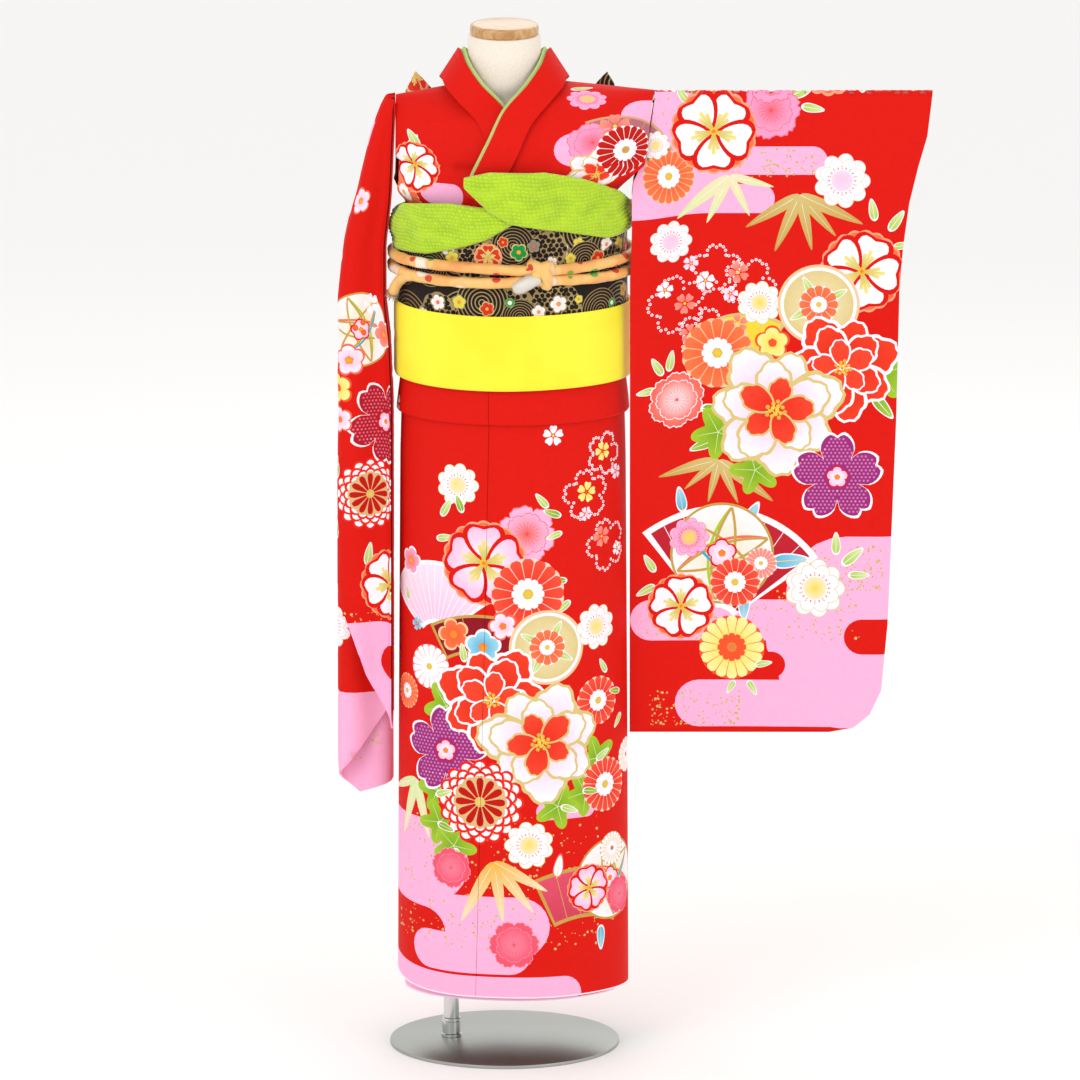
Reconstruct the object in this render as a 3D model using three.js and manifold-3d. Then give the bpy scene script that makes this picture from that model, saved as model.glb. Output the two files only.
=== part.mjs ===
import * as THREE from "three";
import * as BufferGeometryUtils from "three/addons/utils/BufferGeometryUtils.js";
import Module from "manifold-3d";

// Millimetres, Z up, X to the right as seen from the front, Y to the back.

// Cloth
const CLOTH = 1.8;
const COLLAR = 2.8;
const SECOND_COLLAR = 1.2;
const SECOND_GAP = 1.8;
const SASH = 3;
const SEAM_GAP = 0.3;
const TUCK_BEND = 1.35;

// Body of the garment
const BODY_X = 9.6;
const HEM_Z = 73;
const CORNER_RISE = 16;
const UNDER_DROP = 5;
const TUCK_BOTTOM = 738;
const TUCK_TOP = 806;
const CHEST_Z = 1030;
const RIDGE_Z = 1118;
const NECK_EDGE_X = 61;
const SHOULDER_FLARE = 0.065;
const INNER_LAYER = -8.4;
const LEFT_CHEST = 4.7;
const RIGHT_CHEST = -4.8;

// Sleeves
const SLEEVE_BOTTOM = 362;
const SLEEVE_WALL = 1.6;
const ROD_RADIUS = 6;
const ROD_Z = 1095;
const ROD_START = 38;
const ROD_END = 470;
const FOLDED_WALL = 1.3;

// Sash and bow
const OBI_BOTTOM = 801;
const OBI_TOP = 985;
const OBI_OFFSET = 10;
const CORD_RADIUS = 5.4;

// Stand
const BASE_RADIUS = 130;
const BASE_HEIGHT = 4;
const POLE_RADIUS = 8.75;
const POLE_X = -60.5;
const POLE_Y = 10;
const NECK_RADIUS = 41;

const wasm = await Module();
wasm.setup();

const clamp = THREE.MathUtils.clamp;
const mix = THREE.MathUtils.lerp;
const smooth = THREE.MathUtils.smoothstep;
const vec = (x, y, z) => new THREE.Vector3(x, y, z);

// Straight reading of a table of [position, value] rows.
function read(table, at) {
  let i = 1;
  while (i < table.length - 1 && table[i][0] < at) i++;
  const [a, b] = [table[i - 1], table[i]];
  return mix(a[1], b[1], clamp((at - a[0]) / (b[0] - a[0]), 0, 1));
}

const range = (from, to, steps) =>
  Array.from({ length: steps + 1 }, (_, i) => mix(from, to, i / steps));

// Half-width and half-depth of the cloth body at each height.
const HALF_WIDTH = [
  [66, 130],
  [400, 128.5],
  [690, 126.5],
  [745, 125],
  [800, 118.5],
  [985, 117],
  [1030, 121],
];
const HALF_DEPTH = [
  [66, 92],
  [400, 91],
  [745, 89],
  [800, 85],
  [985, 84],
  [1030, 84],
];

// The body widens into the shoulders, more on the side of the spread sleeve.
function bodyWidth(z, left) {
  const full = left ? 161 : 141;
  return mix(read(HALF_WIDTH, z), full, smooth(z, 985, CHEST_Z));
}

const bodyPower = (z) => mix(2, 1.7, smooth(z, 985, CHEST_Z));

// Soft vertical folds of the lower body, the same for every layer.
function folds(phi, z) {
  const grow = smooth(-z, -700, -80);
  const front = Math.max(0, Math.sin(phi));
  const back = Math.max(0, -Math.sin(phi));
  return grow * (1.6 * front * Math.cos(5 * phi) + 5 * back * back * Math.cos(11 * phi));
}

// A point on the body: phi runs from the left side over the front to the right side.
function bodyPoint(phi, z, offset) {
  const left = Math.cos(phi) > 0;
  const low = Math.min(z, CHEST_Z);
  const a = bodyWidth(low, left);
  const b = read(HALF_DEPTH, low);
  const n = bodyPower(low);
  const c = Math.abs(Math.cos(phi));
  const s = Math.pow(Math.max(0, 1 - Math.pow(c, n)), 1 / n);
  const front = Math.sin(phi) >= 0 ? -1 : 1;
  const nx = (Math.sign(Math.cos(phi)) * Math.pow(c, n - 1)) / a;
  const ny = (front * Math.pow(s, n - 1)) / b;
  const length = Math.hypot(nx, ny) || 1;
  const d = offset + folds(phi, z);
  return vec(
    BODY_X + a * Math.cos(phi) + (d * nx) / length,
    front * b * s + (d * ny) / length,
    z,
  );
}

const ridgeHeight = (x) => RIDGE_Z - (x > 0 ? 0.09 : 0.165) * Math.abs(x);

// The shoulder turns from the chest over the ridge; turn is 0 at the chest and 1 on the ridge.
function shoulderPoint(phi, turn, offset) {
  const at = bodyPoint(phi, CHEST_Z, 0);
  const angle = (turn * Math.PI) / 2;
  const facing = Math.sin(phi) >= 0 ? -1 : 1;
  if (at.x > BODY_X) at.x = BODY_X + (at.x - BODY_X) * (1 + SHOULDER_FLARE * turn);
  return vec(
    at.x,
    at.y * Math.cos(angle) + facing * offset * Math.cos(angle),
    mix(CHEST_Z, ridgeHeight(at.x), Math.sin(angle)) + offset * Math.sin(angle),
  );
}

// The front surface at a place seen from the front.
function frontPoint(x, z, offset) {
  const low = Math.min(z, CHEST_Z);
  const a = bodyWidth(low, x > BODY_X);
  const n = bodyPower(low);
  const c = Math.min(1, Math.abs((x - BODY_X) / a));
  const depth = read(HALF_DEPTH, low) * Math.pow(1 - Math.pow(c, n), 1 / n);
  if (z <= CHEST_Z) return vec(x, -depth - offset, z);
  const sine = clamp((z - CHEST_Z) / (ridgeHeight(x) - CHEST_Z + offset), 0, 1);
  return vec(x, -(depth + offset) * Math.sqrt(1 - sine * sine), z);
}

function geometryFrom(points, triangles) {
  const geometry = new THREE.BufferGeometry();
  geometry.setAttribute(
    "position",
    new THREE.Float32BufferAttribute(points.flatMap((p) => [p.x, p.y, p.z]), 3),
  );
  let volume = 0;
  for (const [a, b, c] of triangles) {
    volume += points[a].dot(points[b].clone().cross(points[c]));
  }
  geometry.setIndex(
    triangles.flatMap(([a, b, c]) => (volume > 0 ? [a, b, c] : [a, c, b])),
  );
  return geometry;
}

// A cloth of even thickness about a middle surface of rows and columns. A loop joins its ends.
function cloth(columns, rows, place, thickness, loop = false) {
  const nu = columns.length;
  const nv = rows.length;
  const middle = rows.map((v) => columns.map((u) => place(u, v)));
  const next = (i) => (loop ? (i + 1) % nu : Math.min(i + 1, nu - 1));
  const last = (i) => (loop ? (i + nu - 1) % nu : Math.max(i - 1, 0));
  const points = [];
  for (const side of [1, -1]) {
    for (let j = 0; j < nv; j++) {
      for (let i = 0; i < nu; i++) {
        const across = middle[j][next(i)].clone().sub(middle[j][last(i)]);
        const along = middle[Math.min(j + 1, nv - 1)][i]
          .clone()
          .sub(middle[Math.max(j - 1, 0)][i]);
        const normal = across.cross(along).normalize();
        const half = typeof thickness === "function" ? thickness(i, j) / 2 : thickness / 2;
        points.push(middle[j][i].clone().addScaledVector(normal, side * half));
      }
    }
  }
  const id = (side, i, j) => side * nu * nv + j * nu + (i % nu);
  const triangles = [];
  const quad = (a, b, c, d) => triangles.push([a, b, c], [a, c, d]);
  const width = loop ? nu : nu - 1;
  for (let j = 0; j < nv - 1; j++) {
    for (let i = 0; i < width; i++) {
      quad(id(0, i, j), id(0, i + 1, j), id(0, i + 1, j + 1), id(0, i, j + 1));
      quad(id(1, i, j), id(1, i, j + 1), id(1, i + 1, j + 1), id(1, i + 1, j));
    }
    if (!loop) {
      quad(id(0, 0, j), id(0, 0, j + 1), id(1, 0, j + 1), id(1, 0, j));
      quad(id(0, nu - 1, j), id(1, nu - 1, j), id(1, nu - 1, j + 1), id(0, nu - 1, j + 1));
    }
  }
  for (let i = 0; i < width; i++) {
    quad(id(0, i, 0), id(1, i, 0), id(1, i + 1, 0), id(0, i + 1, 0));
    const top = nv - 1;
    quad(id(0, i, top), id(0, i + 1, top), id(1, i + 1, top), id(1, i, top));
  }
  return geometryFrom(points, triangles);
}

// A flat bag: front and back surfaces on a grid, joined at all four edges.
function lens(columns, rows, front, back) {
  const nu = columns.length;
  const nv = rows.length;
  const points = [];
  for (const surface of [front, back]) {
    for (const v of rows) for (const u of columns) points.push(surface(u, v));
  }
  const id = (side, i, j) => side * nu * nv + j * nu + i;
  const triangles = [];
  const quad = (a, b, c, d) => triangles.push([a, b, c], [a, c, d]);
  for (let j = 0; j < nv - 1; j++) {
    for (let i = 0; i < nu - 1; i++) {
      quad(id(0, i, j), id(0, i + 1, j), id(0, i + 1, j + 1), id(0, i, j + 1));
      quad(id(1, i, j), id(1, i, j + 1), id(1, i + 1, j + 1), id(1, i + 1, j));
    }
    quad(id(0, 0, j), id(0, 0, j + 1), id(1, 0, j + 1), id(1, 0, j));
    quad(id(0, nu - 1, j), id(1, nu - 1, j), id(1, nu - 1, j + 1), id(0, nu - 1, j + 1));
  }
  for (let i = 0; i < nu - 1; i++) {
    const top = nv - 1;
    quad(id(0, i, 0), id(1, i, 0), id(1, i + 1, 0), id(0, i + 1, 0));
    quad(id(0, i, top), id(0, i + 1, top), id(1, i + 1, top), id(1, i, top));
  }
  return geometryFrom(points, triangles);
}

function toSolid(geometry) {
  const clean = geometry.clone();
  clean.deleteAttribute("normal");
  clean.deleteAttribute("uv");
  const merged = BufferGeometryUtils.mergeVertices(clean, 1e-4);
  return new wasm.Manifold(
    new wasm.Mesh({
      numProp: 3,
      vertProperties: new Float32Array(merged.attributes.position.array),
      triVerts: new Uint32Array(merged.index.array),
    }),
  );
}

function toGeometry(solid) {
  const mesh = solid.getMesh();
  const geometry = new THREE.BufferGeometry();
  geometry.setAttribute("position", new THREE.BufferAttribute(mesh.vertProperties, 3));
  geometry.setIndex(new THREE.BufferAttribute(mesh.triVerts, 1));
  return geometry;
}

const cut = (body, tool) => toGeometry(toSolid(body).subtract(toSolid(tool)));
const join = (...parts) => toGeometry(parts.map(toSolid).reduce((a, b) => a.add(b)));

// Smooth line through the rows of a table.
function line(rows) {
  const curve = new THREE.CatmullRomCurve3(rows.map(([x, y, z]) => vec(x, y, z)));
  return (t) => curve.getPoint(clamp(t, 0, 1));
}

// A round cord of even radius along a smooth line.
function cord(points, radius, steps, closed = false, sides = 10) {
  const path = new THREE.CatmullRomCurve3(points, closed);
  const outline = new THREE.Shape();
  outline.absarc(0, 0, radius, 0, 2 * Math.PI);
  return new THREE.ExtrudeGeometry(outline, {
    extrudePath: path,
    steps,
    curveSegments: sides,
    bevelEnabled: false,
  });
}

function ball(x, y, z, rx, ry, rz, detail = 10) {
  const geometry = new THREE.SphereGeometry(1, detail, Math.round(detail * 0.7));
  geometry.scale(rx, ry, rz);
  geometry.translate(x, y, z);
  return geometry;
}

function upright(x, y, radius, low, high, segments) {
  const geometry = new THREE.CylinderGeometry(radius, radius, high - low, segments);
  geometry.rotateX(Math.PI / 2);
  geometry.translate(x, y, (low + high) / 2);
  return geometry;
}

const group = new THREE.Group();
function add(name, geometry, color, roughness, metalness = 0) {
  const mesh = new THREE.Mesh(
    geometry,
    new THREE.MeshStandardMaterial({ color, roughness, metalness }),
  );
  mesh.name = name;
  group.add(mesh);
}

const RED = 0xd81e0a;
const PRINT = 0xd92a1e;
const BROCADE = 0x2a1d18;
const LIME = 0xb0dc16;
const YELLOW = 0xf8e02a;
const CORD_COLOR = 0xe9a860;
const LINEN = 0xebdfcd;

// Base plate with a small bevel round its top edge.
const plate = new THREE.LatheGeometry(
  [
    new THREE.Vector2(0, 0),
    new THREE.Vector2(BASE_RADIUS - 0.5, 0),
    new THREE.Vector2(BASE_RADIUS, 0.5),
    new THREE.Vector2(BASE_RADIUS, BASE_HEIGHT - 1),
    new THREE.Vector2(BASE_RADIUS - 1, BASE_HEIGHT),
    new THREE.Vector2(0, BASE_HEIGHT),
  ],
  48,
);
plate.rotateX(Math.PI / 2);
add("base_plate", plate, 0xa3a59f, 0.35, 0.9);

// Pole and the turned collar at its foot; the pole ends inside the form.
const POLE_TOP = 655;
const FOOT = 22;
add(
  "pole",
  upright(POLE_X, POLE_Y, POLE_RADIUS, BASE_HEIGHT + SEAM_GAP, POLE_TOP, 32),
  0xc8cac8,
  0.15,
  1,
);
const foot = new THREE.LatheGeometry(
  [
    [POLE_RADIUS + SEAM_GAP, 0],
    [POLE_RADIUS + 2.6, 0],
    [POLE_RADIUS + 2.6, 3],
    [POLE_RADIUS + 1.6, 3.6],
    [POLE_RADIUS + 1.6, FOOT - 4],
    [POLE_RADIUS + 1.1, FOOT - 3.5],
    [POLE_RADIUS + 1.6, FOOT - 3],
    [POLE_RADIUS + 1.6, FOOT - 0.5],
    [POLE_RADIUS + 1.1, FOOT],
    [POLE_RADIUS + SEAM_GAP, FOOT],
    [POLE_RADIUS + SEAM_GAP, 0],
  ].map(([r, z]) => new THREE.Vector2(r, z)),
  20,
);
foot.rotateX(Math.PI / 2);
foot.translate(POLE_X, POLE_Y, BASE_HEIGHT + SEAM_GAP);
add("pole_collar", foot, 0xb9bbb8, 0.3, 1);

// Dress form: rings of a smooth limbless torso with its neck.
const FORM_RINGS = [
  { z: 612, a: 70, b: 46, x: 8 },
  { z: 618, a: 96, b: 62, x: 8 },
  { z: 640, a: 108, b: 70, x: 8 },
  { z: 700, a: 110, b: 71, x: 9 },
  { z: 780, a: 103, b: 68, x: 9 },
  { z: 860, a: 97, b: 66, x: 9 },
  { z: 930, a: 99, b: 68, x: 8 },
  { z: 990, a: 102, b: 69, x: 7 },
  { z: 1030, a: 104, b: 64, x: 5 },
  { z: 1060, a: 103, b: 56, x: 3 },
  { z: 1078, a: 94, b: 46, x: 1 },
  { z: 1088, a: 82, b: 39, x: 0 },
  { z: 1096, a: 70, b: 36, x: 0 },
  { z: 1102.5, a: 57, b: 36, x: 0 },
  { z: 1107, a: 47, b: 38, x: 0 },
  { z: 1118, a: 42.5, b: 41, x: 0 },
  { z: 1140, a: NECK_RADIUS, b: NECK_RADIUS, x: 0 },
  { z: 1166, a: NECK_RADIUS, b: NECK_RADIUS, x: 0 },
  { z: 1168, a: NECK_RADIUS - 2, b: NECK_RADIUS - 2, x: 0 },
];
const FORM_SIDES = 20;
function formGeometry() {
  const points = [];
  for (const ring of FORM_RINGS) {
    for (let i = 0; i < FORM_SIDES; i++) {
      const angle = (2 * Math.PI * i) / FORM_SIDES;
      points.push(vec(ring.x + ring.a * Math.cos(angle), ring.b * Math.sin(angle), ring.z));
    }
  }
  const triangles = [];
  for (let j = 0; j < FORM_RINGS.length - 1; j++) {
    for (let i = 0; i < FORM_SIDES; i++) {
      const a = j * FORM_SIDES + i;
      const b = j * FORM_SIDES + ((i + 1) % FORM_SIDES);
      triangles.push([a, b, b + FORM_SIDES], [a, b + FORM_SIDES, a + FORM_SIDES]);
    }
  }
  const top = (FORM_RINGS.length - 1) * FORM_SIDES;
  for (let i = 1; i < FORM_SIDES - 1; i++) {
    triangles.push([0, i + 1, i], [top, top + i, top + i + 1]);
  }
  return geometryFrom(points, triangles);
}
const poleHole = upright(POLE_X, POLE_Y, POLE_RADIUS + SEAM_GAP, 560, POLE_TOP + SEAM_GAP, 32);
function crossRod(radius, from, to) {
  const rod = new THREE.CylinderGeometry(radius, radius, to - from, 20);
  rod.rotateZ(Math.PI / 2);
  rod.translate((from + to) / 2, 0, ROD_Z);
  return rod;
}
const socket = crossRod(ROD_RADIUS + SEAM_GAP, ROD_START, 140);
add("form_body", cut(cut(formGeometry(), poleHole), socket), LINEN, 0.9);

const cap = new THREE.LatheGeometry(
  [
    [0, 0],
    [NECK_RADIUS - 3.5, 0],
    [NECK_RADIUS - 2.5, 1.5],
    [NECK_RADIUS - 2.5, 8.5],
    [NECK_RADIUS - 4.5, 11.2],
    [0, 11.8],
  ].map(([r, z]) => new THREE.Vector2(r, z)),
  32,
);
cap.rotateX(Math.PI / 2);
cap.translate(0, 0, 1168 + SEAM_GAP);
add("neck_cap", cap, 0xc08c4c, 0.45);

add("sleeve_rod", crossRod(ROD_RADIUS, ROD_START + SEAM_GAP, ROD_END), 0xcfc3b0, 0.7);

// Where the inner edge of a front panel lies, as an angle on the body.
function angleAt(x, z, front) {
  const a = bodyWidth(Math.min(z, CHEST_Z), x > BODY_X);
  const angle = Math.acos(clamp((x - BODY_X) / a, -1, 1));
  return front ? angle : -angle;
}

// One body length runs from the front hem over the shoulder to the back hem.
// Each row has a height or a shoulder turn, a layer offset and its face.
function bodyRows() {
  const half = [
    ...range(HEM_Z, 690, 5).map((z) => ({ z, layer: 0 })),
    { z: 738, layer: 0 },
    { z: TUCK_TOP - TUCK_BEND, layer: 0 },
    { z: TUCK_TOP, layer: TUCK_BEND },
    { z: TUCK_TOP - TUCK_BEND, layer: 2 * TUCK_BEND },
    { z: TUCK_BOTTOM + TUCK_BEND, layer: 2 * TUCK_BEND },
    { z: TUCK_BOTTOM, layer: 3 * TUCK_BEND },
    { z: TUCK_BOTTOM + TUCK_BEND, layer: 4 * TUCK_BEND },
    { z: 800, layer: 4 * TUCK_BEND },
    { z: 830, layer: 3 },
    { z: 870, layer: 1 },
    { z: 930, layer: 0 },
    { z: 985, layer: 0 },
    { z: 1005, layer: 0 },
    { z: CHEST_Z, layer: 0 },
    ...range(0.14, 0.86, 5).map((turn) => ({ turn, layer: 0 })),
  ];
  const tag = (row, front) => ({ ...row, front });
  return [
    ...half.map((row) => tag(row, true)),
    { turn: 1, layer: 0, front: true, ridge: true },
    ...half.map((row) => tag(row, false)).reverse(),
  ];
}

const OKUMI_SEAM = [
  [66, -33],
  [500, -22],
  [740, -17],
  [960, -17],
  [985, -37],
  [1030, -16],
];

// The side of the body: closed below the armhole, open above it.
function armAngle(row) {
  const z = row.turn === undefined ? row.z : CHEST_Z;
  return (mix(0, 21, smooth(z, 945, 1010)) * Math.PI) / 180;
}

function innerX(row, left) {
  if (row.turn !== undefined) {
    if (row.front) return mix(-16, NECK_EDGE_X, Math.pow(row.turn, 1.2));
    return NECK_EDGE_X * Math.sin((Math.PI / 2) * smooth(row.turn, 0.36, 1)) + 0.2;
  }
  if (!row.front) return mix(left ? BODY_X : -BODY_X, 0.2, smooth(row.z, 930, 1030));
  return read(OKUMI_SEAM, row.z);
}

function bodyPanel(left) {
  const columns = range(0, 1, 6);
  const rows = bodyRows();
  const gap = SEAM_GAP / 2;
  return cloth(
    columns,
    rows,
    (u, row) => {
      const z = row.turn === undefined ? row.z : CHEST_Z;
      const x = innerX(row, left);
      const inner = left ? x + gap : -x - gap;
      let end = Math.abs(angleAt(inner, z, true));
      let start = armAngle(row);
      if (!left) start = Math.PI - start;
      const seam = (start < 0.02 || start > 3.12) ? gap / 125 : 0;
      start += left ? seam : -seam;
      const phi = mix(start, end, u);
      let offset = row.layer;
      if (row.front && !left) {
        offset += row.turn === undefined
          ? mix(INNER_LAYER, RIGHT_CHEST, smooth(row.z, 900, 990))
          : RIGHT_CHEST * (1 - row.turn);
      }
      if (!row.front && !left && row.turn === undefined) {
        const inset = (1 - smooth(Math.PI - phi, 0.02, 0.5)) * (1 - smooth(row.z, 900, 990));
        offset += inset * INNER_LAYER;
      }
      if (row.front && left) {
        const rise = row.turn === undefined ? smooth(row.z, 930, 1000) : 1 - row.turn;
        offset += LEFT_CHEST * rise * smooth(u, 0.02, 0.35);
      }
      const face = row.front ? phi : -phi;
      const drop = row.front && !left ? UNDER_DROP * (1 - smooth(z, HEM_Z, 400)) : 0;
      if (row.turn === undefined) return bodyPoint(face, row.z - drop, offset);
      return shoulderPoint(face, row.turn, offset);
    },
    CLOTH,
  );
}
add("body_left", bodyPanel(true), PRINT, 0.6);
add("body_right", bodyPanel(false), PRINT, 0.6);

// Overlap panels: the outer one reaches the right side, the inner one the left side.
const OUTER_EDGE = [
  [66, 3.1],
  [740, 3.1],
  [860, 3.02],
  [985, 2.3],
];
function okumiPanel(outer) {
  const rows = bodyRows().filter((row) => row.front && row.turn === undefined && row.z < 980);
  return cloth(
    range(0, 1, 6),
    rows,
    (u, row) => {
      const seamX = read(OKUMI_SEAM, row.z);
      const start = Math.abs(angleAt(outer ? seamX - SEAM_GAP : -seamX + SEAM_GAP, row.z, true));
      const edge = read(OUTER_EDGE, row.z);
      const phi = mix(start, outer ? edge : Math.PI - edge + 0.34, u);
      const lift = outer ? LEFT_CHEST * smooth(row.z, 930, 1000) : 0;
      const under = outer ? 0 : mix(INNER_LAYER, RIGHT_CHEST, smooth(row.z, 900, 990));
      const fall = 1 - smooth(row.z, HEM_Z, 400);
      const hem = fall * (outer ? CORNER_RISE * u * u : -UNDER_DROP);
      return bodyPoint(phi, row.z + hem, row.layer + lift + under);
    },
    CLOTH,
  );
}
add("okumi_left", okumiPanel(true), PRINT, 0.6);
add("okumi_right", okumiPanel(false), PRINT, 0.6);

// Collar: one band from the left front round the nape to the right front.
const CHEST_EDGE = [
  { x: -45, z: 1001, out: 34, left: 7.3 },
  { x: -40, z: 1012, out: 34, left: 8.3, right: -0.3 },
  { x: -32, z: 1030, out: 34, left: 9.6, right: -0.3 },
  { x: -16, z: 1062, out: 34, left: 9.6, right: -0.3 },
  { x: 0.5, z: 1094, out: 33, left: 9.6, right: -0.3 },
];
const NECK_EDGE = [
  { neck: [27, -50, 1121], out: [52, -52, 1101] },
  { neck: [43, -27, 1140], out: [65, -32, 1113] },
  { neck: [49, 0, 1149], out: [70, -3, 1119] },
  { neck: [51, 24, 1147], out: [72, 24, 1113] },
  { neck: [42, 50, 1136], out: [60, 55, 1097] },
  { neck: [22, 66, 1124], out: [31, 75, 1084] },
  { neck: [0, 70, 1118], out: [0, 79, 1079] },
];
function collarEdges() {
  const half = (side) => {
    const sign = side === "left" ? 1 : -1;
    const chest = CHEST_EDGE.filter((row) => row[side] !== undefined).map((row) => ({
      neck: frontPoint(sign * row.x, row.z, row[side]),
      out: frontPoint(sign * (row.x + 0.89 * row.out), row.z - 0.45 * row.out, row[side]),
      offset: row[side],
    }));
    const neck = NECK_EDGE.map((row) => ({
      neck: vec(sign * row.neck[0], row.neck[1], row.neck[2]),
      out: vec(sign * row.out[0], row.out[1], row.out[2]),
      offset: side === "left" ? 6 : 2.5,
    }));
    return [...chest, ...neck];
  };
  const right = half("right");
  right.pop();
  return [...half("left"), ...right.reverse()];
}
const edges = collarEdges();
const neckLine = new THREE.CatmullRomCurve3(edges.map((edge) => edge.neck));
const outLine = new THREE.CatmullRomCurve3(edges.map((edge) => edge.out));
function collarPlace(u, v) {
  const place = neckLine.getPoint(v).lerp(outLine.getPoint(v), u);
  const at = v * (edges.length - 1);
  const i = Math.min(edges.length - 2, Math.floor(at));
  const offset = mix(edges[i].offset, edges[i + 1].offset, at - i);
  if (place.y < -20 && place.z < ridgeHeight(place.x)) {
    const out = Math.min(place.y, frontPoint(place.x, place.z, offset).y);
    place.y = mix(out, place.y, smooth(place.z, 1092, 1112));
  }
  return place;
}
add("collar", cloth(range(0, 1, 2), range(0, 1, 46), collarPlace, COLLAR), PRINT, 0.6);

// Second collar: a thin band inside the collar whose edge shows along the neck.
function secondPlace(u, v) {
  const place = collarPlace(u, v);
  const along = collarPlace(u, Math.min(1, v + 0.01)).sub(collarPlace(u, Math.max(0, v - 0.01)));
  const across = collarPlace(u + 0.05, v).sub(collarPlace(u - 0.05, v));
  const inward = across.cross(along).normalize();
  return place.addScaledVector(inward, -(COLLAR + SECOND_COLLAR) / 2 - SECOND_GAP);
}
add(
  "second_collar",
  cloth([-0.09, 0.3], range(0.06, 1, 46), secondPlace, SECOND_COLLAR),
  0xc9e6a0,
  0.6,
);

// Spread sleeve: outline seen from the front, deeper at the top where the rod lies.
const CUFF_LINE = [
  [361, 364],
  [367, 395],
  [382, 413],
  [410, 426],
  [486, 433],
  [590, 437],
  [724, 442],
  [871, 445],
  [922, 449],
  [975, 456],
  [1018, 466],
  [1053, 476],
  [1103, 482],
];
const ARM_LINE = [
  [361, 141.5],
  [900, 141.5],
  [940, 143.5],
  [1000, 143.5],
  [1015, 150.8],
  [1030, 160.2],
  [1060, 163.7],
  [1103, 170.2],
];
const SLEEVE_DEPTH = [
  [361, 1.9],
  [372, 2.8],
  [800, 3.6],
  [960, 7],
  [1040, 10.5],
  [1070, 10],
  [1088, 8.7],
  [1094.8, 8.3],
  [1098.5, 7.4],
  [1101, 5.4],
  [1102.4, 3],
  [1103, 0.8],
];
function sleeveSurface(inset, side) {
  return (u, z) => {
    const low = SLEEVE_BOTTOM + inset;
    const high = 1103 - inset;
    const at = clamp(mix(low, high, (z - 361) / 742), low, high);
    const wrist = smooth(at, 905, 915);
    const cuff = read(CUFF_LINE, at);
    const end = inset ? mix(cuff - inset, cuff + 3, wrist) : cuff;
    const start = read(ARM_LINE, at) + (inset ? -3 : 0);
    const x = mix(start, end, u);
    const arm = smooth(-x, -200, -146) * smooth(at, 940, 1040);
    const depth = Math.max(0.3, read(SLEEVE_DEPTH, at) + 7 * arm * (at < 1095 ? 1 : 0.4) - inset);
    const near = smooth(-x, -230, -141) * smooth(at, 480, 760) * (1 - smooth(at, 965, 1030));
    const wave = 2.5 * Math.sin((x - 150) / 60) * smooth(-at, -1000, -400) - 41 * near;
    return vec(x, wave + side * depth, at);
  };
}
const sleeveRows = [361, 364, 372, 385, 410, 500, 620, 760, 900, 908, 916, 950, 985, 1010, 1030,
  1060, 1085, 1094.8, 1098.5, 1101, 1102.4, 1103];
const sleeveColumns = range(0, 1, 7);
add(
  "sleeve_left",
  cut(
    lens(sleeveColumns, sleeveRows, sleeveSurface(0, -1), sleeveSurface(0, 1)),
    lens(sleeveColumns, sleeveRows, sleeveSurface(SLEEVE_WALL, -1), sleeveSurface(SLEEVE_WALL, 1)),
  ),
  PRINT,
  0.6,
);

// Hanging sleeve: a bag laid in four runs whose turns stay round.
const RUN_LENGTH = [
  [280, 300],
  [650, 300],
  [780, 290],
  [852, 262],
  [952, 205],
  [1043, 125],
  [1075, 85],
  [1098, 52],
];
const RUN_DEPTH = [
  [280, 66],
  [700, 66],
  [1000, 56],
  [1098, 40],
];
const FOLD_INNER = [
  [280, -127],
  [745, -127],
  [820, -130],
  [865, -135.2],
  [930, -135.2],
  [985, -129],
  [1098, -124],
];
const FOLD_BOTTOM = [
  [0, 372],
  [0.12, 428],
  [0.24, 530],
  [0.4, 470],
  [0.55, 380],
  [0.7, 320],
  [0.85, 284],
  [1, 300],
];
const SWING = 2.02;
const MEANDER_STEPS = 56;
// Mean forward step of a meander for each swing, which sets how tightly it folds.
function meanForward(swing) {
  let sum = 0;
  for (let i = 0; i < 40; i++) sum += Math.cos(swing * Math.sin((2 * Math.PI * (i + 0.5)) / 40));
  return sum / 40;
}
function meanderAt(z) {
  const total = read(RUN_LENGTH, z);
  const depth = read(RUN_DEPTH, z);
  let low = 0;
  let high = SWING + 0.25;
  for (let i = 0; i < 24; i++) {
    const swing = (low + high) / 2;
    if (meanForward(swing) > depth / total) low = swing;
    else high = swing;
  }
  const line = [[0, 0]];
  for (let i = 0; i < MEANDER_STEPS; i++) {
    const turn = low * Math.sin(4 * Math.PI * ((i + 0.5) / MEANDER_STEPS));
    const [x, y] = line[i];
    const step = total / MEANDER_STEPS;
    line.push([x - step * Math.sin(turn), y + step * Math.cos(turn)]);
  }
  return line;
}
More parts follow.
